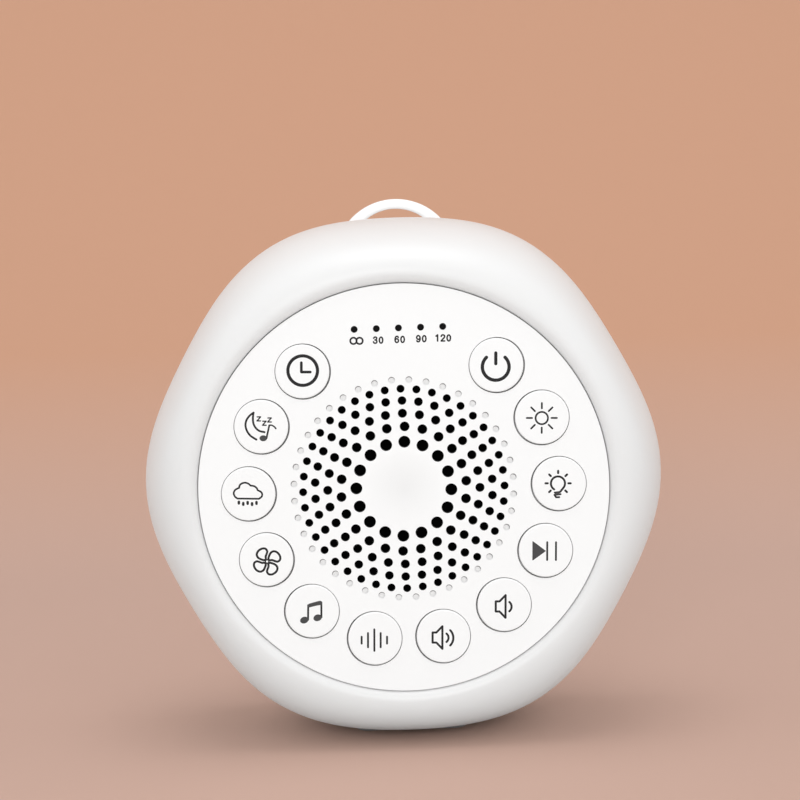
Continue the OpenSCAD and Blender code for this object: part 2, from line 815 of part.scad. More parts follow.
module battery_tray() {
    color("gainsboro") face() difference() {
        union() {
            slab(tray_front, back_inner) translate([0, cell_y])
                square([2 * tray_half_len, 2 * tray_half_h], center = true);
            for (ear = tray_ears) translate([ear[0], cell_y, 0])
                slab(tray_ear_front, tray_ear_front + tray_ear_t) {
                    translate([0, ear[1] * tray_ear_y]) circle(r = tray_post_r, $fn = small_fn);
                    translate([0, ear[1] * (tray_ear_y + tray_half_h - tray_ear_out) / 2])
                        square([2 * tray_post_r, tray_ear_y - tray_half_h + tray_ear_out], center = true);
                }
        }
        translate([-cell_len / 2 - seat_clear, cell_y, -cell_depth]) rotate([0, 90, 0])
            cylinder(r = cell_r + seat_clear, h = cell_len + 2 * seat_clear);
        for (ear = tray_ears) translate([ear[0], cell_y + ear[1] * tray_ear_y, 0])
            rod(small_shank_r + seat_clear, 0, body_depth, small_fn);
    }
}

module usb_board() {
    color("darkgreen") face() slab(usb_board_front, usb_board_back)
        translate([0, usb_floor_y - usb_board_t / 2])
        square([2 * usb_board_half, usb_board_t], center = true);
}

module usb_socket() {
    color("silver") face() translate([0, usb_y, 0]) {
        difference() {
            slab(usb_mouth - usb_len, usb_mouth) stadium(usb_w, usb_h);
            slab(usb_mouth - usb_len + 1.2, usb_mouth + 1)
                stadium(usb_w - 2 * usb_wall, usb_h - 2 * usb_wall);
        }
        slab(usb_mouth - usb_len + 1, usb_mouth - 1) square([6.6, 0.7], center = true);
    }
}

// Fasteners and wires

// A pan-head screw whose head lies behind its seat
module screw(seat, shank_r, len, head_r, head_t) {
    rod(shank_r, seat - len, seat + 0.1, small_fn);
    difference() {
        rod(head_r, seat, seat + head_t, small_fn);
        for (a = [0, 90]) rotate([0, 0, a]) slab(seat + head_t * 0.45, seat + head_t + 1)
            square([head_r * 1.2, head_r * 0.3], center = true);
    }
}

module case_screws() {
    color("silver") face() around(boss_ring_r, boss_angles)
        screw(sink_depth, case_shank_r, case_screw_len, case_head_r, case_head_t);
}

module board_screws() {
    color("silver") face() around(post_ring_r, post_angles)
        screw(board_back, small_shank_r, board_t + small_bite, small_head_r, small_head_t);
}

module speaker_screws() {
    color("silver") face() around(ear_ring_r, ear_angles)
        screw(basket_front + basket_t, small_shank_r, basket_t + ear_bite, small_head_r, small_head_t);
}

module tray_screws() {
    color("silver") face() for (ear = tray_ears)
        translate([ear[0], cell_y + ear[1] * tray_ear_y, -tray_ear_front]) mirror([0, 0, 1])
            screw(0, small_shank_r, tray_ear_t + small_bite, small_head_r, small_head_t);
}

module speaker_leads() {
    start_z = -terminal_depth - terminal_t / 2;
    end_x = -board_in_r - 2 * speaker_lead_y;
    color("red") face() for (y = [-speaker_lead_y, speaker_lead_y])
        wire([[-terminal_out, y, start_z], [-terminal_out - wire_run, y, start_z],
              [end_x, y * 3, -board_back - wire_run], [end_x, y * 3, -board_back]]);
}

module battery_leads() {
    start_y = cell_y - tray_half_h + tray_wall;
    start_z = -tray_front - 2 * tray_wall;
    color("red") face() for (side = [-1, 1])
        wire([[side * tray_half_len, start_y, start_z],
              [side * (tray_half_len + lead_out), start_y, start_z],
              [side * lead_end_x, wire_end_y, -usb_board_front + lead_out],
              [side * lead_end_x, wire_end_y, -usb_board_front]]);
}

module power_leads() {
    color("white") face() for (x = [-power_end_x, power_end_x])
        wire([[x, wire_end_y, -usb_board_front], [x, wire_end_y, -usb_board_front + wire_run],
              [x * 2, power_end_y, -board_back - wire_run], [x * 2, power_end_y, -board_back]]);
}

front_panel();
front_shell();
rear_shell();
inner_frame();
front_foot();
rear_foot();
hanging_loop();
button(0);  // button_timer
button(1);  // button_sleep
button(2);  // button_rain
button(3);  // button_fan
button(4);  // button_music
button(5);  // button_white_noise
button(6);  // button_volume_up
button(7);  // button_volume_down
button(8);  // button_play
button(9);  // button_lamp
button(10);  // button_brightness
button(11);  // button_power
plunger(0);  // plunger_timer
plunger(1);  // plunger_sleep
plunger(2);  // plunger_rain
plunger(3);  // plunger_fan
plunger(4);  // plunger_music
plunger(5);  // plunger_white_noise
plunger(6);  // plunger_volume_up
plunger(7);  // plunger_volume_down
plunger(8);  // plunger_play
plunger(9);  // plunger_lamp
plunger(10);  // plunger_brightness
plunger(11);  // plunger_power
tact_switches();
control_board();
timer_leds();
timer_windows();
dust_mesh();
speaker_gasket();
speaker_basket();
speaker_surround();
speaker_cone();
speaker_dust_cap();
speaker_spider();
voice_coil();
speaker_top_plate();
speaker_magnet();
speaker_yoke();
night_light_board();
night_light_leds();
battery_cell();
battery_tray();
usb_board();
usb_socket();
case_screws();
board_screws();
speaker_screws();
tray_screws();
speaker_leads();
battery_leads();
power_leads();
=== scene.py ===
"""A hanging white noise sound machine: its visible pieces, their finishes and a plain studio.

Sizes are millimetres in the face frame: x to the right, y up from the middle of the face, and a depth
measured from the front of the rim towards the back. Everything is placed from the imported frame.
"""

import logging
import math
from collections.abc import Callable, Iterable, Sequence
from dataclasses import dataclass, field
from enum import Enum

import bpy
from mathutils import Matrix, Vector
from mathutils.kdtree import KDTree


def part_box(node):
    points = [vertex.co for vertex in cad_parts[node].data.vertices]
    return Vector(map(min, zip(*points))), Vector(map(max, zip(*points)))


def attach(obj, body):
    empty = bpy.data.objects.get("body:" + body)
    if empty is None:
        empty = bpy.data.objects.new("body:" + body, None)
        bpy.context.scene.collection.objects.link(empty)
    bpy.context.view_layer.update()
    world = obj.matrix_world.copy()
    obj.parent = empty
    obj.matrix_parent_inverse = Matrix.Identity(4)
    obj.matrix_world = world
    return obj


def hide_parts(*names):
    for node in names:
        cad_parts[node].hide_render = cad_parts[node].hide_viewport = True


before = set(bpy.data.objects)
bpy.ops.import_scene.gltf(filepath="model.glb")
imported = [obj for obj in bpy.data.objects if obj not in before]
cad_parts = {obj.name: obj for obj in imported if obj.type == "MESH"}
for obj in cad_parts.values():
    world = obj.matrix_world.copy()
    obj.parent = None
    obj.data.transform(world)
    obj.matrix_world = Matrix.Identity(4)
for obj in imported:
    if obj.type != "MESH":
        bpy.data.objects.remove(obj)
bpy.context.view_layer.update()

MM = 0.001
TURN = 2 * math.pi
CREASE = math.radians(50)
# Millimetres: how near two points count as one, how far a cutter reaches past a surface, how deep a
# rib sinks into its wall, and the play of a foot in its seat
SEAM = 0.004
PAST = 1
SUNK = 0.4
SEAT_PLAY = 0.1
LOG = logging.getLogger("sound_machine")
Flat = tuple[float, float]


# ---------------------------------------------------------------------------------------------
# Where things lie


@dataclass(frozen=True)
class FaceFrame:
    """The face frame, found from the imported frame."""

    middle_x: float
    middle_z: float
    rim_y: float

    @classmethod
    def measured(cls) -> "FaceFrame":
        """Reads the middle of the face from the panel and the front of the rim from its shell."""
        low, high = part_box("front_panel")
        return cls((low.x + high.x) / 2, (low.z + high.z) / 2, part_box("front_shell")[0].y)

    def at(self, x: float, y: float, depth: float) -> Vector:
        """Turns a place in the face frame into a point in metres.

        Args:
            x: Millimetres to the right of the middle.
            y: Millimetres above the middle.
            depth: Millimetres behind the front of the rim.

        Returns:
            The point in the frame's own axes.
        """
        return Vector((self.middle_x + x * MM, self.rim_y + depth * MM, self.middle_z + y * MM))

    def find(self, point: Vector) -> tuple[float, float, float]:
        """Turns a point in metres into a place in millimetres.

        Args:
            point: The point.

        Returns:
            Its x, y and depth in the face frame.
        """
        return (
            (point.x - self.middle_x) / MM,
            (point.z - self.middle_z) / MM,
            (point.y - self.rim_y) / MM,
        )

    def node_middle(self, node: str) -> Flat:
        """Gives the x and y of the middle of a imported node.

        Args:
            node: The node's name.

        Returns:
            The x and y.
        """
        low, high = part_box(node)
        x, y, _ = self.find((low + high) / 2)
        return x, y

    def node_depths(self, node: str) -> tuple[float, float]:
        """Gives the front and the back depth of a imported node."""
        low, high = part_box(node)
        return self.find(low)[2], self.find(high)[2]


FACE = FaceFrame.measured()


# ---------------------------------------------------------------------------------------------
# Shader boards


class Signal:
    """One output of a shader board, on which sums can be written."""

    def __init__(self, board: "ShaderBoard", socket: bpy.types.NodeSocket) -> None:
        """Keeps the board that the signal lies on, and its socket."""
        self.board = board
        self.socket = socket

    def _sum(self, operation: str, *terms: "Signal | float", clamp: bool = False) -> "Signal":
        """Adds one Math node.

        Args:
            operation: The node's operation.
            terms: Signals or plain numbers, in the node's order.
            clamp: True keeps the result between 0 and 1.

        Returns:
            The node's output.
        """
        settings = {"operation": operation, "use_clamp": clamp}
        return self.board.node("ShaderNodeMath", settings, dict(enumerate(terms)))

    def __add__(self, other: "Signal | float") -> "Signal":
        """Adds."""
        return self._sum("ADD", self, other)

    def __sub__(self, other: "Signal | float") -> "Signal":
        """Takes away."""
        return self._sum("SUBTRACT", self, other)

    def __rsub__(self, other: float) -> "Signal":
        """Takes the signal away from a number."""
        return self._sum("SUBTRACT", other, self)

    def __mul__(self, other: "Signal | float") -> "Signal":
        """Multiplies."""
        return self._sum("MULTIPLY", self, other)

    def __truediv__(self, other: "Signal | float") -> "Signal":
        """Divides."""
        return self._sum("DIVIDE", self, other)

    def __pow__(self, power: float) -> "Signal":
        """Raises to a power."""
        return self._sum("POWER", self, power)

    def wave(self) -> "Signal":
        """Gives a sine of the signal, from 0 to 1."""
        return self._sum("SINE", self) * 0.5 + 0.5

    def over(self, edge: float) -> "Signal":
        """Gives 1 where the signal is over an edge, and else 0."""
        return self._sum("GREATER_THAN", self, edge)

    def kept(self) -> "Signal":
        """Keeps the signal between 0 and 1."""
        return self._sum("ADD", self, 0.0, clamp=True)


class ShaderBoard:
    """The nodes of one material."""

    def __init__(self, name: str) -> None:
        """Starts a material with a surface shader and its output.

        Args:
            name: The material's name.
        """
        self.material = bpy.data.materials.new(name)
        self.material.use_nodes = True
        self.tree = self.material.node_tree
        self.tree.nodes.clear()
        self.surface = self.tree.nodes.new("ShaderNodeBsdfPrincipled")
        self.output = self.tree.nodes.new("ShaderNodeOutputMaterial")
        self.tree.links.new(self.surface.outputs[0], self.output.inputs[0])

    def node(self, kind: str, settings: dict | None = None, inputs: dict | None = None,
             output: int | str = 0) -> Signal:
        """Adds a node of any kind.

        Args:
            kind: The node's type.
            settings: Its properties, set before the inputs.
            inputs: Values or signals by socket name or number.
            output: The output to hand back.

        Returns:
            That output as a signal.
        """
        made = self.tree.nodes.new(kind)
        for name, value in (settings or {}).items():
            setattr(made, name, value)
        for name, value in (inputs or {}).items():
            self.feed(made.inputs[name], value)
        return Signal(self, made.outputs[output])

    def feed(self, socket: bpy.types.NodeSocket, value: object) -> None:
        """Links a signal to a socket, or sets the socket's own value.

        Args:
            socket: The socket.
            value: A signal, or a value of the kind that the socket takes.
        """
        if isinstance(value, Signal):
            self.tree.links.new(value.socket, socket)
        else:
            socket.default_value = value

    def set(self, **values: object) -> None:
        """Feeds sockets of the surface shader, with _ for a space in their names."""
        for name, value in values.items():
            self.feed(self.surface.inputs[name.replace("_", " ")], value)

    def place(self) -> Signal:
        """Gives the place on the object, in metres."""
        return self.node("ShaderNodeTexCoord", output="Object")

    def axes(self) -> tuple[Signal, Signal, Signal]:
        """Gives x, y and z of the place on the object, in millimetres.

        Returns:
            The three signals.
        """
        parted = self.tree.nodes.new("ShaderNodeSeparateXYZ")
        self.feed(parted.inputs[0], self.place())
        return tuple(Signal(self, out) * (1 / MM) for out in parted.outputs)

    def about(self, middle: Vector) -> tuple[Signal, Signal]:
        """Gives the distance from a line along Y, and the angle round it.

        Args:
            middle: A point on the line, in metres.

        Returns:
            The distance in millimetres, and the angle in radians.
        """
        x, _, z = self.axes()
        right, up = x - middle.x / MM, z - middle.z / MM
        reach = (right * right + up * up) ** 0.5
        return reach, self.node("ShaderNodeMath", {"operation": "ARCTAN2"}, {0: up, 1: right})

    def noise(self, size: float, detail: float = 2.0, stretch: Sequence[float] = (1, 1, 1)) -> Signal:
        """Gives a cloudy pattern from 0 to 1.

        Args:
            size: The width of its patches in millimetres.
            detail: How many finer layers it has.
            stretch: How much closer together the patches lie along each axis.

        Returns:
            The pattern.
        """
        here = self.node("ShaderNodeMapping", None, {"Vector": self.place(), "Scale": stretch})
        return self.node("ShaderNodeTexNoise", None,
                         {"Vector": here, "Scale": 1 / (size * MM), "Detail": detail})

    def cells(self, size: float) -> Signal:
        """Gives the distance to the nearest of scattered grains of a size in millimetres."""
        return self.node("ShaderNodeTexVoronoi", {"feature": "F1"},
                         {"Vector": self.place(), "Scale": 1 / (size * MM)})

    def mix(self, share: Signal, first: Signal | Sequence[float],
            second: Signal | Sequence[float]) -> Signal:
        """Mixes two colours.

        Args:
            share: How much of the second colour there is.
            first: A signal, or red, green and blue.
            second: A signal, or red, green and blue.

        Returns:
            The mixed colour.
        """
        first, second = (part if isinstance(part, Signal) else (*part, 1) for part in (first, second))
        return self.node("ShaderNodeMix", {"data_type": "RGBA"},
                         {"Factor": share, 6: first, 7: second}, output=2)

    def blend(self, share: Signal, first: Sequence[float], second: Sequence[float]) -> Signal:
        """Goes from one colour to another as the share goes from 0 to 1."""
        return self.mix(share.kept(), first, second)

    def relief(self, height: Signal, rise: float) -> None:
        """Raises the surface by a pattern.

        Args:
            height: The pattern, from 0 to 1.
            rise: Its height in millimetres.
        """
        bump = self.node("ShaderNodeBump", None, {"Height": height, "Strength": 1.0,
                                                  "Distance": rise * MM})
        self.set(Normal=bump)


def shade(colour: Sequence[float], factor: float) -> tuple[float, ...]:
    """Gives a colour made lighter or darker by a factor."""
    return tuple(min(part * factor, 1.0) for part in colour)


# ---------------------------------------------------------------------------------------------
# Finishes

MADE: dict[str, bpy.types.Material] = {}


@dataclass(frozen=True)
class Finish:
    """A finish, which makes its material when it is first used."""

    name: str
    colour: tuple[float, float, float]
    roughness: float = 0.5

    def make(self) -> bpy.types.Material:
        """Gives the material of this finish, the same one each time.

        Returns:
            The material.
        """
        if self.name not in MADE:
            board = ShaderBoard(f"{self.name}_finish")
            self.draw(board)
            MADE[self.name] = board.material
        return MADE[self.name]

    def draw(self, board: ShaderBoard) -> None:
        """Draws the finish on a board."""
        raise NotImplementedError


@dataclass(frozen=True)
class MouldedPlastic(Finish):
    """Injection-moulded plastic with a fine spark-eroded grain and faint flow clouds."""

    grain: float = 0.16
    rise: float = 0.002
    cloud: float = 0.012
    gloss: float = 0.0
    milk: float = 0.0
    milk_reach: float = 2.2
    speck_rough: float = 0.08
    cloud_rough: float = 0.05
    gloss_rough: float = 0.12

    def draw(self, board: ShaderBoard) -> None:
        """Draws clouds in the colour, specks in the roughness, and the grain in relief.

        Args:
            board: The board of the finish's material.
        """
        clouds = board.noise(26, 3)
        specks = board.noise(self.grain, 2)
        pits = board.cells(self.grain * 1.7)
        board.set(
            Base_Color=self.tint(board, clouds),
            Roughness=specks * self.speck_rough + clouds * self.cloud_rough
            + (self.roughness - (self.speck_rough + self.cloud_rough) / 2),
            Coat_Weight=self.gloss,
            Coat_Roughness=self.gloss_rough,
            IOR=1.49,
            Subsurface_Weight=self.milk,
            Subsurface_Radius=(1.0, 0.96, 0.9),
            Subsurface_Scale=self.milk_reach * MM,
        )
        board.relief(specks * 0.6 + pits * 0.4, self.rise)

    def tint(self, board: ShaderBoard, clouds: Signal) -> Signal:
        """Gives the colour, a little darker in the clouds."""
        return board.blend(clouds, shade(self.colour, 1 - self.cloud), self.colour)


@dataclass(frozen=True)
class DrilledPlastic(MouldedPlastic):
    """Moulded plastic with painted shade: dark down its small holes, on its dimples' walls and faint in its
    dish.

    The dish reaches to dish_to from the middle of the face, the sound holes to holes_to and the
    dimples to dimples_to. The holes are light down to hole_shade_from and dark from hole_shade_full_at on,
    and the walls of the dimples lie between the two depths of dimple_walls.
    """

    dish_to: float = 9.0
    # Painted shade: how much darker the middle of the dish is
    dish_shade_amount: float = 0.085
    holes_to: float = 24.0
    hole_shade_from: float = 0.03
    hole_shade_full_at: float = 0.25
    # The grey that all the painted shade goes to
    dark: float = 0.01
    dimples_to: float = 26.3
    dimple_walls: tuple[float, float] = (0.02, 0.26)
    # How much painted shadow darkens the dimples' walls
    wall_shade_amount: float = 0.75

    def tint(self, board: ShaderBoard, clouds: Signal) -> Signal:
        """Gives the colour, with painted shade down the holes, on the dimples' walls and in the dish.

        Args:
            board: The board of the finish's material.
            clouds: The clouds in its colour.

        Returns:
            The colour.
        """
        top = FACE.node_depths("front_panel")[0]
        _, along, _ = board.axes()
        depth = along - (FACE.rim_y / MM + top)
        reach, _ = board.about(FACE.at(0, 0, 0))
        past_holes, past_dimples = reach.over(self.holes_to), reach.over(self.dimples_to)
        start, end = self.dimple_walls
        # Painted shadow on the dimples' walls, between two depths in the dimples' ring
        walls = depth.over(start) * (1 - depth.over(end)) * (past_holes - past_dimples)
        grille = reach.over(self.dish_to) - past_holes
        # Painted shade down the grille's holes, darker the deeper it lies
        painted_hole_shade = ((depth - self.hole_shade_from) / (self.hole_shade_full_at - self.hole_shade_from)).kept() * grille
        # Painted shade in the dish, darkest at its middle
        painted_dish_shade = (1 - reach / self.dish_to).kept() * self.dish_shade_amount
        plain = super().tint(board, clouds)
        return board.mix(painted_hole_shade + walls * self.wall_shade_amount + painted_dish_shade, plain, (self.dark,) * 3)


@dataclass(frozen=True)
class PrintedInk(Finish):
    """Pad-printed ink, a little thinner in the middle of a broad stroke."""

    def draw(self, board: ShaderBoard) -> None:
        """Draws faint patches where the ink lies thinner.

        Args:
            board: The board of the finish's material.
        """
        thin = board.noise(0.5, 3)
        board.set(
            Base_Color=board.blend(thin, self.colour, shade(self.colour, 1.35)),
            Roughness=thin * 0.15 + self.roughness,
            Specular_IOR_Level=0.2,
        )
        board.relief(board.noise(0.08, 2), 0.001)


@dataclass(frozen=True)
class SmokedWindow(Finish):
    """Near-black clear plastic over the timer lights."""

    def draw(self, board: ShaderBoard) -> None:
        """Draws faint dust in the roughness.

        Args:
            board: The board of the finish's material.
        """
        dust = board.noise(0.7, 3)
        board.set(
            Base_Color=board.blend(dust, self.colour, shade(self.colour, 1.5)),
            Roughness=dust * 0.1 + self.roughness,
            Specular_IOR_Level=0.1,
        )


@dataclass(frozen=True)
class Silicone(Finish):
    """Soft silicone with a dusty skin."""

    def draw(self, board: ShaderBoard) -> None:
        """Draws dust patches and a fine skin.

        Args:
            board: The board of the finish's material.
        """
        dust = board.noise(6, 4)
        board.set(
            Base_Color=board.blend(dust, shade(self.colour, 0.9), shade(self.colour, 1.06)),
            Roughness=dust * 0.2 + (self.roughness - 0.1),
            Sheen_Weight=0.15,
        )
        board.relief(board.noise(0.3, 3), 0.01)


@dataclass(frozen=True)
class Metal(Finish):
    """Plated, pressed or turned metal with fine scratches."""

    scratch: float = 0.12
    stretch: tuple[float, float, float] = (1, 1, 8)

    def draw(self, board: ShaderBoard) -> None:
        """Draws scratches along one axis and a little tarnish.

        Args:
            board: The board of the finish's material.
        """
        lines = board.noise(self.scratch * 4, 3, self.stretch)
        tarnish = board.noise(5, 4)
        board.set(
            Base_Color=board.blend(tarnish, shade(self.colour, 0.78), self.colour),
            Metallic=1.0,
            Roughness=lines * 0.2 + tarnish * 0.1 + (self.roughness - 0.12),
        )
        board.relief(lines, 0.004)


@dataclass(frozen=True)
class Woven(Finish):
    """Cloth or mesh woven from two sets of threads across X and Z."""

    pitch: float = 0.35
    shine: float = 0.5

    def draw(self, board: ShaderBoard) -> None:
        """Draws the threads, darker between them.

        Args:
            board: The board of the finish's material.
        """
        x, _, z = board.axes()
        turns = TURN / self.pitch
        weft, warp = (x * turns).wave(), (z * turns).wave()
        checks = ((x * (turns / 2)).wave() - 0.5) * ((z * (turns / 2)).wave() - 0.5)
        over = (checks * 4).kept()
        threads = weft * over + warp * (1 - over)
        board.set(
            Base_Color=board.blend(threads, shade(self.colour, 0.35), self.colour),
            Roughness=threads * -0.1 + self.roughness,
            Specular_IOR_Level=self.shine,
        )
        board.relief(threads, self.pitch * 0.25)


@dataclass(frozen=True)
class Grained(Finish):
    """Foam, paper pulp, ferrite or resin: coarse grains of two shades."""

    grain: float = 0.5
    contrast: float = 0.25
    rise: float = 0.03

    def draw(self, board: ShaderBoard) -> None:
        """Draws grains in the colour, the roughness and in relief.

        Args:
            board: The board of the finish's material.
        """
        grains = board.cells(self.grain)
        clouds = board.noise(self.grain * 9, 4)
        board.set(
            Base_Color=board.blend(grains * 0.6 + clouds * 0.5, shade(self.colour, 1 - self.contrast),
                                   shade(self.colour, 1 + self.contrast)),
            Roughness=clouds * 0.15 + (self.roughness - 0.08),
        )
        board.relief(grains, self.rise)


@dataclass(frozen=True)
class CircuitBoard(Finish):
    """Solder-masked board with copper tracks under the mask, and pads."""

    pitch: float = 1.27
    tin: tuple[float, float, float] = (0.7, 0.69, 0.66)

    def draw(self, board: ShaderBoard) -> None:
        """Draws tracks along X and Z that change over by patches, and shiny pads.

        Args:
            board: The board of the finish's material.
        """
        x, _, z = board.axes()
        turns = TURN / self.pitch
        patch = board.noise(7, 1).over(0.5)
        across, along = (x * turns).wave(), (z * turns).wave()
        tracks = (across * patch + along * (1 - patch)).over(0.62)
        pads = (across * along).over(0.9)
        mask = board.blend(tracks, self.colour, shade(self.colour, 1.7))
        tinned = board.mix(pads, mask, self.tin)
        board.set(Base_Color=tinned, Metallic=pads * 0.9, Roughness=self.roughness - pads * 0.1)
        board.relief(tracks, 0.02)


@dataclass(frozen=True)
class Winding(Finish):
    """Copper wire wound in fine turns along Y."""

    pitch: float = 0.2

    def draw(self, board: ShaderBoard) -> None:
        """Draws the turns.

        Args:
            board: The board of the finish's material.
        """
        _, y, _ = board.axes()
        turns = (y * (TURN / self.pitch)).wave()
        board.set(
            Base_Color=board.blend(turns, shade(self.colour, 0.4), self.colour),
            Metallic=1.0,
            Roughness=turns * -0.1 + self.roughness,
        )
        board.relief(turns, self.pitch * 0.3)


@dataclass(frozen=True)
class CellWrap(Finish):
    """Shrink wrap on a cell, glossy with faint wrinkles and a bare metal end."""

    bare_from: float = 31.4
    bare_colour: tuple[float, float, float] = (0.75, 0.74, 0.72)

    def draw(self, board: ShaderBoard) -> None:
        """Draws wrinkles round the cell, and metal past the end of the wrap.

        Args:
            board: The board of the finish's material.
        """
        x, _, _ = board.axes()
        wrinkles = board.noise(3, 3, (6, 1, 1))
        bare = x.over(self.bare_from)
        wrap = board.blend(wrinkles, shade(self.colour, 0.85), self.colour)
        skin = board.mix(bare, wrap, self.bare_colour)
        board.set(Base_Color=skin, Metallic=bare, Roughness=wrinkles * 0.12 + self.roughness)
        board.relief(wrinkles, 0.05)


class Finishes(Enum):
    """Every finish of the machine, named by the record's material slots."""

    # The panel's finish paints shade down its holes, on its dimples' walls and in its dish
    PANEL = DrilledPlastic("panel_plastic", (0.9, 0.9, 0.9), 0.42)
    DIFFUSER = MouldedPlastic("diffuser_plastic", (0.77, 0.77, 0.77), 0.38, 0.2, 0.0015, 0.008, 0.0, 0.1)
    SHELL = MouldedPlastic("shell_plastic", (0.8, 0.8, 0.8), 0.45, 0.25, 0.004)
    LOOP = MouldedPlastic("loop_plastic", (0.93, 0.93, 0.93), 0.24, 0.2, 0.0008, 0.006, 0.4)
    BUTTON = MouldedPlastic("button_plastic", (0.9, 0.9, 0.9), 0.36, 0.14, 0.001, 0.006)
    FRAME = MouldedPlastic("frame_plastic", (0.66, 0.66, 0.65), 0.5, 0.3, 0.006)
    INK = PrintedInk("printed_ink", (0.016, 0.016, 0.017), 0.5)
    FILL = PrintedInk("printed_ink_fill", (0.055, 0.055, 0.056), 0.5)
    WINDOW = SmokedWindow("smoked_window", (0.0015, 0.0015, 0.0018), 0.45)
    MESH = Woven("speaker_mesh", (0.002, 0.002, 0.0022), 0.9, 0.3, 0.05)
    SILICONE = Silicone("foot_silicone", (0.28, 0.28, 0.28), 0.75)
    PLUNGER = Grained("plunger_plastic", (0.03, 0.03, 0.035), 0.55, 0.3, 0.2, 0.004)
    SWITCH = Metal("switch_metal", (0.72, 0.72, 0.7), 0.32)
    BOARD = CircuitBoard("circuit_board", (0.01, 0.075, 0.03), 0.38)
    WHITE_BOARD = CircuitBoard("white_board", (0.6, 0.6, 0.58), 0.42, 3.0)
    LED = Grained("led_resin", (0.78, 0.7, 0.3), 0.35, 0.4, 0.12, 0.004)
    FOAM = Grained("foam", (0.03, 0.03, 0.032), 0.95, 0.35, 0.4, 0.08)
    PRESSED = Metal("pressed_steel", (0.45, 0.45, 0.46), 0.42, 0.3)
    SURROUND = Grained("surround_rubber", (0.02, 0.02, 0.021), 0.6, 0.4, 0.25, 0.01)
    CONE = Grained("cone_paper", (0.028, 0.027, 0.026), 0.85, 0.35, 0.4, 0.04)
    SPIDER = Woven("spider_cloth", (0.55, 0.33, 0.09), 0.85, 0.4)
    COPPER = Winding("copper_wire", (0.72, 0.33, 0.16), 0.35)
    FERRITE = Grained("ferrite", (0.05, 0.05, 0.052), 0.62, 0.35, 0.3, 0.02)
    CELL = CellWrap("cell_wrap", (0.03, 0.12, 0.42), 0.3)
    SOCKET = Metal("socket_steel", (0.78, 0.78, 0.77), 0.26, 0.1)
    SCREW = Metal("screw_steel", (0.5, 0.5, 0.52), 0.34, 0.08)
    LEAD_RED = Grained("lead_red", (0.5, 0.02, 0.015), 0.45, 0.3, 0.12, 0.004)
    LEAD_WHITE = Grained("lead_white", (0.75, 0.75, 0.74), 0.45, 0.3, 0.06, 0.004)

    @property
    def slot(self) -> str:
        """Gives the record's name for this finish."""
        return self.value.name

    def coat(self, piece: bpy.types.Object) -> None:
        """Puts the finish on a new piece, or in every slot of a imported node.

        Args:
            piece: The piece or node.
        """
        material = self.value.make()
        if not piece.data.materials:
            piece.data.materials.append(material)
        for number in range(len(piece.data.materials)):
            piece.data.materials[number] = material


# ---------------------------------------------------------------------------------------------
# The bench: shaping with Blender's own operators


def deselect() -> None:
    """Leaves object mode with nothing selected."""
    if bpy.context.object and bpy.context.object.mode != "OBJECT":
        bpy.ops.object.mode_set(mode="OBJECT")
    bpy.ops.object.select_all(action="DESELECT")


def take(piece: bpy.types.Object) -> None:
    """Makes one object the only selected and the active one.

    Args:
        piece: The object.
    """
    deselect()
    piece.select_set(True)
    bpy.context.view_layer.objects.active = piece


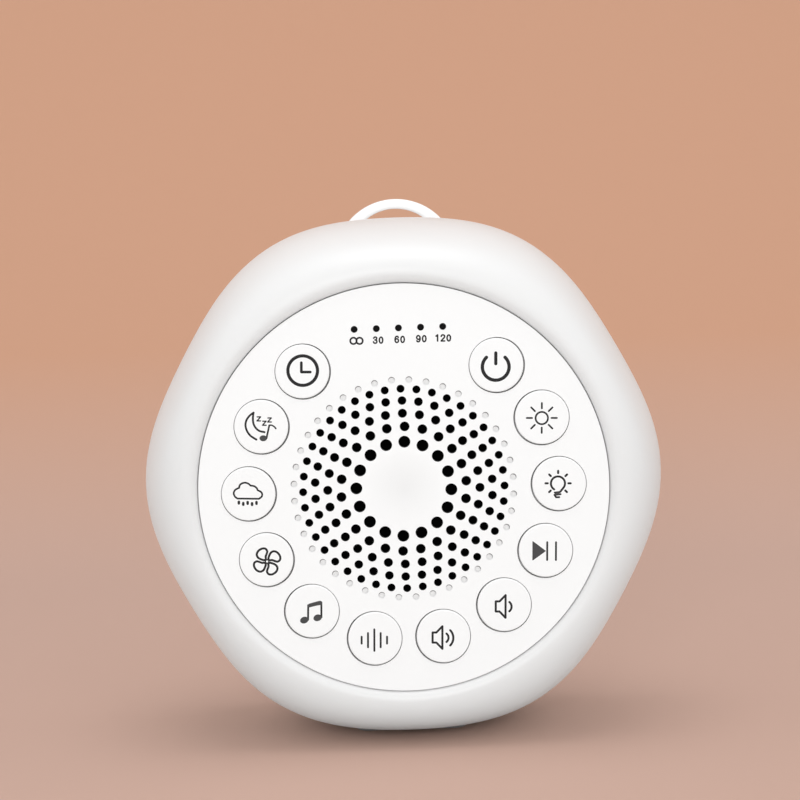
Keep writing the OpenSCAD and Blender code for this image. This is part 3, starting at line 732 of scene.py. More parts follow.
class Workpiece:
    """A mesh on the bench. Its object stays at the origin, and its place is in its mesh."""

    def __init__(self, name: str, piece: bpy.types.Object | None = None) -> None:
        """Takes up a piece, or starts an empty mesh.

        Args:
            name: The piece's name.
            piece: The object to take up, if there is one.
        """
        if piece is None:
            deselect()
            bpy.ops.object.add(type="MESH", location=(0, 0, 0))
            piece = bpy.context.active_object
        self.piece = piece
        self.piece.name = name
        self.piece.data.name = name

    def edit(self, action: str = "DESELECT") -> None:
        """Opens the mesh with nothing selected, or with all of it.

        Args:
            action: What is selected: DESELECT or SELECT.
        """
        take(self.piece)
        bpy.ops.object.mode_set(mode="EDIT")
        bpy.ops.mesh.select_mode(type="VERT")
        bpy.ops.mesh.select_all(action=action)

    def close(self) -> None:
        """Goes back to object mode."""
        bpy.ops.object.mode_set(mode="OBJECT")

    def seal(self, inside: bool = False) -> None:
        """Turns every face of the open mesh outwards, or inwards, and goes back to object mode.

        Args:
            inside: True turns them inwards.
        """
        bpy.ops.mesh.select_all(action="SELECT")
        bpy.ops.mesh.normals_make_consistent(inside=inside)
        self.close()

    def line(self, points: Sequence[Vector]) -> None:
        """Draws edges from point to point, starting from a small plane merged to one vertex.

        Args:
            points: The points, in metres.
        """
        self.edit()
        bpy.ops.mesh.primitive_plane_add(size=MM, location=points[0])
        bpy.ops.mesh.merge(type="CENTER")
        for here, there in zip(points, points[1:]):
            bpy.ops.mesh.extrude_vertices_move(TRANSFORM_OT_translate={"value": there - here})
        self.close()

    def sheet(self, points: Sequence[Vector]) -> None:
        """Fills a closed outline with one face.

        Args:
            points: Its corners, in metres.
        """
        self.line(points)
        self.edit("SELECT")
        bpy.ops.mesh.edge_face_add()
        self.close()

    def lathe(self, profile: Sequence[Flat], middle: Flat, steps: int) -> None:
        """Turns a closed profile about the line along Y through the middle.

        Args:
            profile: Radius and depth of each point, in order round the section.
            middle: The axis's x and y in the face frame.
            steps: How many faces lie round the turn.
        """
        x, y = middle
        closed = list(profile)
        if closed[0][0] > 0 or closed[-1][0] > 0:
            closed.append(closed[0])
        self.line([FACE.at(x + radius, y, depth) for radius, depth in closed])
        self.edit("SELECT")
        bpy.ops.mesh.spin(steps=steps, angle=TURN, center=FACE.at(x, y, 0), axis=(0, 1, 0))
        bpy.ops.mesh.select_all(action="SELECT")
        bpy.ops.mesh.remove_doubles(threshold=SEAM * MM)
        self.seal()

    def grow(self, right: float, back: float, up: float, inside: bool = False) -> None:
        """Extrudes every face or edge, and turns the faces one way.

        Args:
            right: Millimetres to the right.
            back: Millimetres towards the back.
            up: Millimetres upwards.
            inside: True turns the faces inwards.
        """
        self.edit("SELECT")
        bpy.ops.mesh.extrude_region_move(
            TRANSFORM_OT_translate={"value": (right * MM, back * MM, up * MM)})
        self.seal(inside)

    def finish_with(self, kind: str, **settings: object) -> None:
        """Adds a modifier and applies it.

        Args:
            kind: The modifier's type.
            settings: Its properties.
        """
        take(self.piece)
        modifier = self.piece.modifiers.new(kind.title(), kind)
        for name, value in settings.items():
            setattr(modifier, name, value)
        bpy.ops.object.modifier_apply(modifier=modifier.name)

    def cut(self, tool: "Workpiece", operation: str = "DIFFERENCE") -> None:
        """Cuts with another workpiece, or joins it on, and throws the tool away.

        Args:
            tool: The other workpiece.
            operation: DIFFERENCE or UNION.
        """
        self.finish_with("BOOLEAN", operation=operation, solver="EXACT", object=tool.piece)
        bpy.data.objects.remove(tool.piece)

    def add(self, *others: "Workpiece") -> None:
        """Joins other workpieces into this one as loose parts.

        Args:
            others: The workpieces to join in.
        """
        deselect()
        for other in others:
            other.piece.select_set(True)
        self.piece.select_set(True)
        bpy.context.view_layer.objects.active = self.piece
        bpy.ops.object.join()

    def copy_to(self, offset: Vector, name: str) -> "Workpiece":
        """Makes a copy with its own mesh, moved by an offset in metres.

        Args:
            offset: How far the copy is moved.
            name: The copy's name.

        Returns:
            The copy.
        """
        take(self.piece)
        bpy.ops.object.duplicate(linked=False)
        twin = Workpiece(name, bpy.context.active_object)
        twin.move(offset)
        return twin

    def move(self, offset: Vector) -> None:
        """Moves the mesh inside its object.

        Args:
            offset: How far it is moved, in metres.
        """
        self.edit("SELECT")
        bpy.ops.transform.translate(value=offset)
        self.close()

    def reshape(self, rule: Callable[[float, float, float], tuple[float, float, float]]) -> None:
        """Moves each vertex by a rule, for forms that no operator gives.

        Args:
            rule: Takes x, y and depth in the face frame and gives the new ones.
        """
        for vertex in self.piece.data.vertices:
            vertex.co = FACE.at(*rule(*FACE.find(vertex.co)))
        self.piece.data.update()

    def smooth(self, angle: float = 35.0, flat_first: bool = False) -> None:
        """Shades smooth except across sharp edges.

        Args:
            angle: Edges sharper than this many degrees stay sharp.
            flat_first: True lets large flat faces keep their own normals.
        """
        take(self.piece)
        bpy.ops.object.shade_smooth_by_angle(angle=math.radians(angle))
        if flat_first:
            self.finish_with("WEIGHTED_NORMAL", mode="FACE_AREA", weight=100, keep_sharp=True)

    def install(self, finish: Finishes, body: str, replaces: Sequence[str] = (),
                slot: Finishes | None = None) -> bpy.types.Object:
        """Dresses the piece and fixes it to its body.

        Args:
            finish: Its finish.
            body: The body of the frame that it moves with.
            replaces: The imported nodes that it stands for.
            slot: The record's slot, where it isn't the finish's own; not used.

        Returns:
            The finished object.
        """
        deselect()
        finish.coat(self.piece)
        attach(self.piece, body)
        if replaces:
            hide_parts(*replaces)
        LOG.info("%s: %d faces", self.piece.name, len(self.piece.data.polygons))
        return self.piece


def arc(middle: Flat, radius: float, start: float, end: float, steps: int) -> list[Flat]:
    """Gives points on a circle.

    Args:
        middle: The circle's middle.
        radius: Its radius.
        start: The first angle in degrees.
        end: The last angle in degrees.
        steps: How many stretches lie between them.

    Returns:
        The points, both ends included.
    """
    angles = [math.radians(start + (end - start) * i / steps) for i in range(steps + 1)]
    return [(middle[0] + radius * math.cos(a), middle[1] + radius * math.sin(a)) for a in angles]


def round_ended(middle: Flat, side: float, radius: float) -> list[Flat]:
    """Gives the outline of a bar with round ends.

    Args:
        middle: The bar's middle.
        side: How far the middle of each end lies from it.
        radius: The radius of the ends.

    Returns:
        The outline's points.
    """
    x, y = middle
    return [*arc((x + side, y), radius, -90, 90, 16), *arc((x - side, y), radius, 90, 270, 16)]


def eased_edge(radius: float, top: float, edge: float, steps: int) -> list[Flat]:
    """Gives the rounded edge between a flat top and a side, for a lathe.

    Args:
        radius: The side's radius.
        top: The depth of the top.
        edge: The radius of the rounding, below 0 where it flares outwards.
        steps: How many stretches it has.

    Returns:
        Radii and depths, from the top to the side.
    """
    angles = [math.pi / 2 * i / steps for i in range(steps + 1)]
    return [(radius - edge * (1 - math.sin(a)), top + abs(edge) * (1 - math.cos(a))) for a in angles]


def rounded_path(points: Sequence[Flat], closed: bool = False, steps: int = 5) -> list[Flat]:
    """Draws a smooth curve through points.

    Args:
        points: The points that it passes.
        closed: True joins its end to its start.
        steps: Stretches between two points.

    Returns:
        Points along the curve.
    """
    count = len(points)

    def point(i: int) -> Vector:
        """Gives a point by its number, counted on past either end."""
        return Vector(points[i % count] if closed else points[max(0, min(count - 1, i))])

    path = []
    for i in range(count if closed else count - 1):
        a, b, c, d = (point(i + k) for k in (-1, 0, 1, 2))
        for step in range(steps):
            t = step / steps
            here = 0.5 * (2 * b + (c - a) * t + (2 * a - 5 * b + 4 * c - d) * t * t
                          + (3 * b - a - 3 * c + d) * t * t * t)
            path.append((here.x, here.y))
    path.append(tuple(points[0] if closed else points[-1]))
    return path


# ---------------------------------------------------------------------------------------------
# Casings


@dataclass(frozen=True)
class SectionPoint:
    """A point of a casing's section: radius and depth, and how far it follows the hexagon."""

    radius: float
    depth: float
    share: float


@dataclass
class Casing:
    """A casing turned from a section, then swelled to the soft hexagon."""

    corner_r: float = 62.05
    side_r: float = 60.85
    top_r: float = 60.4
    flat_r: float = 58.85
    wall: float = 2.2
    steps: int = 180
    inner_steps: int = 14
    bar_steps: int = 36
    joint_depth: float = 30.0
    joint_round: float = 0.12
    joint_soft: float = 0.3
    boss_ring: float = 50.45
    boss_r: float = 3.2
    boss_angles: tuple[float, ...] = (60, 120, 240, 300)

    @property
    def corner_mean(self) -> float:
        """Gives the mean radius of the six corners."""
        return (self.side_r + 2 * self.corner_r) / 3

    @property
    def flat_mean(self) -> float:
        """Gives the mean radius of the six flats."""
        return (self.top_r + 2 * self.flat_r) / 3

    @property
    def mean_r(self) -> float:
        """Gives the radius of the outline's mean circle."""
        return (self.corner_mean + self.flat_mean) / 2

    def swell(self, angle: float) -> float:
        """Gives how far the outline lies outside its mean circle at an angle in radians.

        Args:
            angle: The angle, from the right.

        Returns:
            Millimetres outwards.
        """
        six = (self.corner_mean - self.flat_mean) / 2
        four = (self.side_r - self.corner_r + self.top_r - self.flat_r) / 3
        two = (self.side_r - self.corner_r - self.top_r + self.flat_r) / 3
        return six * math.cos(6 * angle) + four * math.cos(4 * angle) + two * math.cos(2 * angle)

    def boss_places(self) -> list[Flat]:
        """Gives the places of the four case screws."""
        return [arc((0, 0), self.boss_ring, angle, angle, 1)[0] for angle in self.boss_angles]

    def bars(self, name: str, places: Sequence[Flat], radius: float, start: float,
             end: float) -> Workpiece:
        """Makes round bars that lie along the depth.

        Args:
            name: The bars' name.
            places: The x and y of each.
            radius: Their radius.
            start: The depth at which they start.
            end: The depth at which they end.

        Returns:
            The bars as one workpiece.
        """
        made = []
        for number, place in enumerate(places):
            bar = Workpiece(f"{name}_{number}")
            bar.lathe([(0, start), (radius, start), (radius, end), (0, end)], place, self.bar_steps)
            made.append(bar)
        made[0].add(*made[1:])
        return made[0]

    def block(self, name: str, path: Sequence[Flat], start: float, end: float) -> Workpiece:
        """Makes a block with a given outline, from one depth to another.

        Args:
            name: The block's name.
            path: Its outline.
            start: The depth at which it starts.
            end: The depth at which it ends.

        Returns:
            The block.
        """
        work = Workpiece(name)
        work.sheet([FACE.at(x, y, start) for x, y in path])
        work.grow(0, end - start, 0)
        return work

    def turned(self, name: str, section: Sequence[SectionPoint]) -> Workpiece:
        """Turns a section and swells it.

        Args:
            name: The piece's name.
            section: Its points, in order.

        Returns:
            The casing's workpiece.
        """
        work = Workpiece(name)
        work.lathe([(p.radius, p.depth) for p in section], (0, 0), self.steps)
        tree = KDTree(len(section))
        for number, p in enumerate(section):
            tree.insert((p.radius, p.depth, 0), number)
        tree.balance()

        def rule(x: float, y: float, depth: float) -> tuple[float, float, float]:
            """Gives a vertex its place on the soft hexagon, by the share of its section point."""
            radius = math.hypot(x, y)
            if radius < 1e-3:
                return x, y, depth
            share = section[tree.find((radius, depth, 0))[1]].share
            grown = 1 + share * self.swell(math.atan2(y, x)) / radius
            return x * grown, y * grown, depth

        work.reshape(rule)
        return work


@dataclass
class FrontShell(Casing):
    """The milky front shell: a rounded lip round the panel and a quarter round to the side."""

    lip_r: float = 46.87
    lip_w: float = 2.2
    lip_depth: float = 3.2
    fillet_depth: float = 2.0
    lip_turn: int = 9
    outer_steps: int = 34
    widest: float = 26.7
    boss_front: float = 4.6
    boss_back: float = 22.4
    bore_r: float = 1.3
    bore_front: float = 13.0

    def quarter(self, inset: float, first: float, steps: int) -> list[SectionPoint]:
        """Gives the quarter round from the crown to the side.

        Args:
            inset: How far it lies inside the outline.
            first: The angle at which it starts, in degrees.
            steps: How many stretches it has.

        Returns:
            Its points, from the crown outwards.
        """
        crown = self.lip_r + self.lip_w
        points = []
        for i in range(steps + 1):
            a = math.radians(first + (90 - first) * i / steps)
            radius = crown + (self.mean_r - inset - crown) * math.sin(a)
            depth = self.widest - (self.widest - inset) * math.cos(a)
            points.append(SectionPoint(radius, depth, math.sin(a)))
        return points

    def build(self) -> None:
        """Builds the shell with its screw bosses and foot seat, and installs it."""
        crown = self.lip_r + self.lip_w
        lip = [SectionPoint(crown - self.lip_w * math.cos(math.radians(a)),
                            self.fillet_depth * (1 - math.sin(math.radians(a))), 0)
               for a in range(0, 90, self.lip_turn)]
        meet = math.degrees(math.acos((self.widest - self.lip_depth) / (self.widest - self.wall)))
        inner = self.quarter(self.wall, meet, self.inner_steps)
        side, fine = self.mean_r, self.joint_round
        soft = fine * self.joint_soft
        joint = [SectionPoint(side, self.joint_depth - fine, 1),
                 SectionPoint(side - soft, self.joint_depth - soft, 1),
                 SectionPoint(side - fine, self.joint_depth, 1),
                 SectionPoint(side - self.wall, self.joint_depth, 1)]
        section = [SectionPoint(self.lip_r, self.lip_depth, 0), *lip,
                   *self.quarter(0, 0, self.outer_steps), *joint, *reversed(inner)]
        work = self.turned("front_shell_milky", section)
        places = self.boss_places()
        work.cut(self.bars("boss", places, self.boss_r, self.boss_front, self.boss_back), "UNION")
        work.cut(self.bars("bore", places, self.bore_r, self.bore_front, self.boss_back + PAST))
        work.cut(FootStrip("front_foot").block(SEAT_PLAY, "foot_seat_cutter"))
        work.smooth(30)
        work.install(Finishes.DIFFUSER, "housing", ["front_shell"])


@dataclass
class RearShell(Casing):
    """The rear shell: a rounded bowl with the loop's pocket, screw sinks and the charging recess."""

    edge: float = 0.2
    outer_steps: int = 26
    disc_rings: tuple[float, ...] = (0.8, 0.55, 0.3, 0)
    round_start: float = 33.0
    round_in: float = 16.0
    fullness: float = 2.4
    back_depth: float = 55.0
    back_inner: float = 52.6
    sink_r: float = 2.7
    sink_depth: float = 29.0
    shank_r: float = 1.55
    boss_front: float = 24.0
    pocket_r: float = 15.6
    pocket_floor: float = 51.6
    pocket_back: float = 2.2
    pocket_wall: float = 4.0
    pocket_steps: int = 48
    bridge_steps: int = 36
    fold_y: float = 37.85
    bridge_top: float = 46.45
    notch_r: float = 3.7
    pin_bore_r: float = 1.15
    pin_bore_end: float = 17.2
    post_places: tuple[Flat, ...] = ((-24.0, -2.4), (24.0, -28.6))
    post_r: float = 2.6
    post_front: float = 48.6
    pilot_r: float = 0.9
    pilot_front: float = 47.0
    rail_front: float = 41.0
    rail_y: float = -37.8
    rail_x: float = 9.4
    rail_w: float = 2.6
    rail_h: float = 4.4
    slit_w: float = 18.1
    slit_h: float = 1.3
    recess_w: float = 12.94
    recess_h: float = 7.26
    slot_w: float = 9.14
    slot_h: float = 3.46
    recess_depth: float = 54.4

    def quarter(self, inset: float, end: float, steps: int) -> list[SectionPoint]:
        """Gives the quarter round from the side to the back face.

        Args:
            inset: How far it lies inside the outline.
            end: The depth of the face that it ends in.
            steps: How many stretches it has.

        Returns:
            Its points, from the side inwards.
        """
        points = []
        for i in range(steps + 1):
            a = math.radians(90 * i / steps)
            out = max(math.cos(a), 0) ** (2 / self.fullness)
            down = math.sin(a) ** (2 / self.fullness)
            radius = self.mean_r - self.round_in + (self.round_in - inset) * out
            points.append(SectionPoint(radius, self.round_start + (end - self.round_start) * down, 1))
        return points

    def disc(self, radius: float, depth: float) -> list[SectionPoint]:
        """Gives rings of a flat face from its rim to its middle."""
        return [SectionPoint(radius * part, depth, part) for part in self.disc_rings]

    def shell(self) -> Workpiece:
        """Turns the bowl.

        Returns:
            The bowl's workpiece.
        """
        outer = self.quarter(0, self.back_depth, self.outer_steps)
        inner = self.quarter(self.wall, self.back_inner, self.inner_steps)
        side, joint, fine = self.mean_r, self.joint_depth, self.joint_round
        soft = fine * self.joint_soft
        edge = [SectionPoint(side - self.wall, joint, 1), SectionPoint(side - fine, joint, 1),
                SectionPoint(side - soft, joint + soft, 1),
                SectionPoint(side, joint + fine, 1)]
        flat_r = self.mean_r - self.round_in
        section = [*reversed(self.disc(flat_r, self.back_inner)), *reversed(inner), *edge, *outer,
                   *self.disc(flat_r, self.back_depth)]
        return self.turned("rear_shell_moulded", section)

    def pocket(self) -> Workpiece:
        """Makes the cutter for the loop's pocket, round at its lower end and open at the top.

        Returns:
            The cutter.
        """
        radius, top = self.pocket_r, self.corner_r
        path = [(radius, top), *arc((0, self.fold_y), radius, 0, -180, self.pocket_steps), (-radius, top)]
        work = self.block("pocket_cutter", path, self.pocket_floor, self.back_depth + PAST)
        work.cut(self.bars("notch", [(0, self.fold_y - radius)], self.notch_r, self.pocket_floor,
                           self.back_depth + PAST), "UNION")
        return work

    def backing(self) -> Workpiece:
        """Makes the pad behind the pocket: a disc, with a square bridge out to the pivots.

        Returns:
            The pad.
        """
        radius = self.pocket_r + self.pocket_wall
        rise = math.degrees(math.asin((self.bridge_top - self.fold_y) / radius))
        path = [*arc((0, self.fold_y), radius, rise, 180 - rise, self.bridge_steps),
                (-radius, self.bridge_top), *arc((0, self.fold_y), radius, 180, 360, self.pocket_steps),
                (radius, self.bridge_top)]
        return self.block("pocket_backing", path, self.pocket_floor - self.pocket_back,
                          self.back_inner + SUNK)

    def rails(self) -> Workpiece:
        """Makes the two slotted rails that hold the charging board.

        Returns:
            Both rails as one workpiece.
        """
        made = [self.block(f"rail_{side}", self.oblong(side * self.rail_x, self.rail_w, self.rail_h),
                           self.rail_front, self.back_inner + SUNK) for side in (-1, 1)]
        made[0].add(made[1])
        made[0].cut(self.block("rail_slit", self.oblong(0, self.slit_w, self.slit_h),
                               self.rail_front - PAST, self.back_inner))
        return made[0]

    def oblong(self, x: float, width: float, height: float) -> list[Flat]:
        """Gives the corners of an oblong about a place on the charging board's line."""
        right, up = width / 2, height / 2
        return [(x + a * right, self.rail_y + b * up) for a, b in ((-1, -1), (1, -1), (1, 1), (-1, 1))]

    def stadium(self, name: str, width: float, height: float, start: float) -> Workpiece:
        """Makes a round-ended block at the charging socket, from a depth out through the back."""
        path = round_ended(FACE.node_middle("usb_socket"), (width - height) / 2, height / 2)
        return self.block(name, path, start, self.back_depth + PAST)

    def build(self) -> None:
        """Builds the shell with everything cut into it, and installs it."""
        work = self.shell()
        places, inner = self.boss_places(), self.back_inner + SUNK
        work.cut(self.bars("boss", places, self.boss_r, self.boss_front, inner), "UNION")
        work.cut(self.backing(), "UNION")
        work.cut(self.bars("post", self.post_places, self.post_r, self.post_front, inner), "UNION")
        work.cut(self.rails(), "UNION")
        work.cut(self.bars("sink", places, self.sink_r, self.sink_depth, self.back_depth + PAST))
        work.cut(self.bars("shank", places, self.shank_r, self.boss_front - PAST, self.sink_depth + PAST / 2))
        work.cut(self.bars("pilot", self.post_places, self.pilot_r, self.pilot_front, self.back_inner))
        work.cut(self.pocket())
        for side in (-1, 1):
            work.cut(HangingLoop().rod(side, self.pin_bore_r, self.pin_bore_end))
        work.cut(self.stadium("recess_cutter", self.recess_w, self.recess_h, self.recess_depth))
        work.cut(self.stadium("slot_cutter", self.slot_w, self.slot_h, self.back_inner - PAST))
        work.cut(FootStrip("rear_foot").block(SEAT_PLAY, "foot_seat_cutter"))
        work.finish_with("BEVEL", limit_method="ANGLE", angle_limit=CREASE, width=self.edge * MM,
                         segments=2, use_clamp_overlap=True, miter_outer="MITER_ARC")
        work.smooth(32, flat_first=True)
        work.install(Finishes.SHELL, "housing", ["rear_shell"])


# ---------------------------------------------------------------------------------------------
# Face


@dataclass
class FrontPanel:
    """The flush panel with its sound holes, blind dimples, button holes and light holes."""

    radius: float = 46.75
    edge: float = 0.15
    lip: float = 0.03
    lip_soft: float = 0.3
    rim_steps: int = 180
    hole_steps: int = 24
    button_hole_steps: int = 72
    dimple_steps: int = 20
    ring_radii: tuple[float, ...] = (10.8, 14.3, 17.3, 20.2, 22.9)
    hole_sizes: tuple[float, ...] = (2.5, 2.0, 1.85, 1.75, 1.6)
    ring_turns: tuple[float, ...] = (-2.5, 5.6, -0.8, -6.0, 0.0)
    first_holes: int = 16
    more_holes: int = 6
    dimple_ring: float = 25.0
    dimple_r: float = 0.75
    dimple_depth: float = 0.42
    dimple_round: float = 0.28
    button_hole_r: float = 6.38
    light_hole_r: float = 0.675
    hole_ease: float = 0.11
    dimple_lean: tuple[float, float] = (0.2, 0.34)
    light_lift: float = 0.1
    dish_r: float = 8.6
    dish_depth: float = 0.15
    dish_rings: tuple[float, ...] = (0, 0.2, 0.4, 0.6, 0.8, 1)

    def drill(self, name: str, radius: float, top: float, end: float, sides: int) -> Workpiece:
        """Makes a cutter for one hole, flared at the surface to leave a rounded edge.

        Args:
            name: The cutter's name.
            radius: The hole's radius.
            top: The depth of the surface.
            end: The depth at which the cutter ends.
            sides: How many faces lie round it.

        Returns:
            The cutter, on the middle of the face.
        """
        profile = [(0, top - PAST), (radius + self.lip, top - PAST),
                   *eased_edge(radius, top, -self.lip, 3), (radius, end), (0, end)]
        work = Workpiece(name)
        work.lathe(profile, (0, 0), sides)
        return work

    def dimple(self, top: float) -> Workpiece:
        """Makes the cutter for a blind dimple with a rounded floor.

        Args:
            top: The depth of the surface.

        Returns:
            The cutter, on the middle of the face.
        """
        corner, soft = self.dimple_r * self.dimple_round, self.lip * self.lip_soft
        bowl = [(self.dimple_r - corner * (1 - math.cos(a)), top + self.dimple_depth
                 - corner * (1 - math.sin(a))) for a in (0, math.pi / 6, math.pi / 3, math.pi / 2)]
        flare = [(self.dimple_r + self.lip, top), (self.dimple_r + soft, top + soft)]
        work = Workpiece("dimple_cutter")
        profile = [(0, top - PAST), (self.dimple_r + self.lip, top - PAST), *flare, *bowl,
                   (0, top + self.dimple_depth)]
        work.lathe(profile, (0, 0), self.dimple_steps)
        return work

    def leaned(self, x: float, y: float, depth: float, top: float) -> tuple[float, float, float]:
        """Leans a dimple's floor down and towards the middle, so that its upper wall shows.

        Args:
            x: The place of one of its points.
            y: The height of the point.
            depth: The depth of the point.
            top: The depth of the surface.

        Returns:
            The point's new place and its depth.
        """
        sunk = max(depth - top, 0) / self.dimple_depth
        side, down = self.dimple_lean
        return x - side * sunk * x / self.dimple_ring, y - down * sunk, depth

    def spread(self, tool: Workpiece, places: Iterable[Flat]) -> Workpiece:
        """Copies a cutter to its places, joins the copies and drops the first one.

        Args:
            tool: The cutter.
            places: The x and y of each copy.

        Returns:
            The copies as one workpiece.
        """
        copies = [tool.copy_to(Vector((x * MM, 0, y * MM)), f"{tool.piece.name}_{number}")
                  for number, (x, y) in enumerate(places)]
        bpy.data.objects.remove(tool.piece)
        copies[0].add(*copies[1:])
        return copies[0]

    def ring(self, radius: float, count: int, turn: float) -> list[Flat]:
        """Gives places spaced evenly on a circle, the first at an angle in degrees."""
        return arc((0, 0), radius, turn, turn + 360, count)[:-1]

    def build(self) -> None:
        """Builds the panel and installs it."""
        top, back = FACE.node_depths("front_panel")
        dish = [(self.dish_r * part, top + self.dish_depth * (1 + math.cos(math.pi * part)) / 2)
                for part in self.dish_rings]
        rim = eased_edge(self.radius, top, self.edge, 4)
        work = Workpiece("panel_drilled")
        work.lathe([*dish, *rim, (self.radius, back), (0, back)], (0, 0), self.rim_steps)
        tools, end = [], back + PAST
        for number, radius in enumerate(self.ring_radii):
            count = self.first_holes + self.more_holes * number
            bore = self.hole_sizes[number] / 2 + self.hole_ease
            tool = self.drill("sound_hole", bore, top, end, self.hole_steps)
            tools.append(self.spread(tool, self.ring(radius, count, self.ring_turns[number])))
        dimples = self.first_holes + self.more_holes * (len(self.ring_radii) - 1)
        places = self.ring(self.dimple_ring, dimples, 180 / dimples)
        tools.append(self.spread(self.dimple(top), places))
        tools[-1].reshape(lambda x, y, depth: self.leaned(x, y, depth, top))
        tool = self.drill("button_hole", self.button_hole_r, top, end, self.button_hole_steps)
        tools.append(self.spread(tool, [FACE.node_middle(f"button_{n}") for n in BUTTON_NAMES]))
        tool = self.drill("light_hole", self.light_hole_r + self.hole_ease, top, end, self.hole_steps)
        lights = [(x, y + self.light_lift) for x, y in TimerRow().places()]
        tools.append(self.spread(tool, lights))
        tools[0].add(*tools[1:])
        work.cut(tools[0])
        work.smooth(33, flat_first=True)
        work.install(Finishes.PANEL, "housing", ["front_panel"])


def numeral(sign: str) -> list[list[Flat]]:
    """Gives the middle lines of a printed numeral, about its middle.

    Args:
        sign: One numeral: 0, 1, 2, 3, 6 or 9.

    Returns:
        Its strokes.
    """
    six = [(0.34, 0.46), (0.22, 0.64), (0.02, 0.70), (-0.22, 0.58), (-0.36, 0.24), (-0.38, -0.14),
           (-0.3, -0.5), (0, -0.70), (0.3, -0.54), (0.38, -0.26), (0.28, 0.02), (0.02, 0.14),
           (-0.24, 0.04), (-0.37, -0.2)]
    upper = [(-0.34, 0.42), (-0.2, 0.64), (0.02, 0.70), (0.28, 0.6), (0.34, 0.36), (0.22, 0.12),
             (-0.04, 0.04)]
    lower = [(-0.04, 0.04), (0.26, -0.06), (0.4, -0.34), (0.28, -0.6), (0, -0.70), (-0.26, -0.62),
             (-0.38, -0.38)]
    neck = [(-0.38, 0.36), (-0.28, 0.60), (0, 0.70), (0.30, 0.58), (0.38, 0.32), (0.24, 0.02),
            (-0.10, -0.32), (-0.38, -0.68)]
    if sign == "0":
        return [[(0.38 * x, 0.68 * y) for x, y in arc((0, 0), 1, 0, 360, 24)]]
    if sign == "1":
        return [[(-0.22, 0.42), (0.12, 0.70), (0.12, -0.70)]]
    if sign == "2":
        return [[*rounded_path(neck, steps=3), (0.40, -0.68)]]
    if sign == "3":
        return [rounded_path(upper, steps=3), rounded_path(lower, steps=3)]
    return [rounded_path(six if sign == "6" else [(-x, -y) for x, y in six], steps=3)]


@dataclass
class TimerRow:
    """The row of timer lights with the times printed under them."""

    count: int = 5
    pitch: float = 5.0
    labels: tuple[str, ...] = ("", "30", "60", "90", "120")
    label_pitch: float = 4.88
    label_shift: float = 0.2
    drop: float = 2.5
    digit_pitch: float = 1.32
    digit_stroke: float = 0.36
    endless_r: float = 0.72
    endless_reach: float = 0.69
    endless_stroke: float = 0.42

    def places(self) -> list[Flat]:
        """Gives the places of the lights, which the smoked windows show."""
        x, y = FACE.node_middle("timer_windows")
        return [(x + (i - (self.count - 1) / 2) * self.pitch, y) for i in range(self.count)]

    def label_places(self) -> list[Flat]:
        """Gives the places of the printed times, which stand a little closer together.

        Returns:
            The middle of each.
        """
        x, y = FACE.node_middle("timer_windows")
        return [(x + self.label_shift + (i - (self.count - 1) / 2) * self.label_pitch, y - self.drop)
                for i in range(self.count)]

    def label(self, text: str, place: Flat, depth: float) -> Workpiece:
        """Makes one printed number.

        Args:
            text: The number.
            place: Its middle.
            depth: The depth of the panel's surface.

        Returns:
            The number as a thin mesh.
        """
        ink = Ink(self.digit_stroke, Finishes.INK)
        strokes = []
        for number, sign in enumerate(text):
            shift = (number - (len(text) - 1) / 2) * self.digit_pitch
            for path in numeral(sign):
                moved = ink.placed([(x + shift, y) for x, y in path], place)
                strokes.append(ink.stroke(f"label_{text}", moved, depth))
        strokes[0].add(*strokes[1:])
        return strokes[0]

    def endless(self, place: Flat, depth: float) -> Workpiece:
        """Makes the endless sign from two rings that cross.

        Args:
            place: Its middle.
            depth: The depth of the panel's surface.

        Returns:
            The sign as a thin mesh.
        """
        ink = Ink(self.endless_stroke, Finishes.INK)
        rings = [ink.stroke("label_endless", ink.placed(
            arc((side * self.endless_reach, 0), self.endless_r, 0, 360, 28), place), depth)
            for side in (-1, 1)]
        rings[0].add(rings[1])
        return rings[0]

    def build(self) -> None:
        """Builds the labels as one print and installs it."""
        depth = FACE.node_depths("front_panel")[0]
        places = self.label_places()
        marks = [self.endless(places[0], depth)]
        marks += [self.label(text, place, depth) for text, place in zip(self.labels[1:], places[1:])]
        marks[0].add(*marks[1:])
        marks[0].piece.name = "timer_labels"
        marks[0].install(Finishes.INK, "housing", slot=Finishes.PANEL)


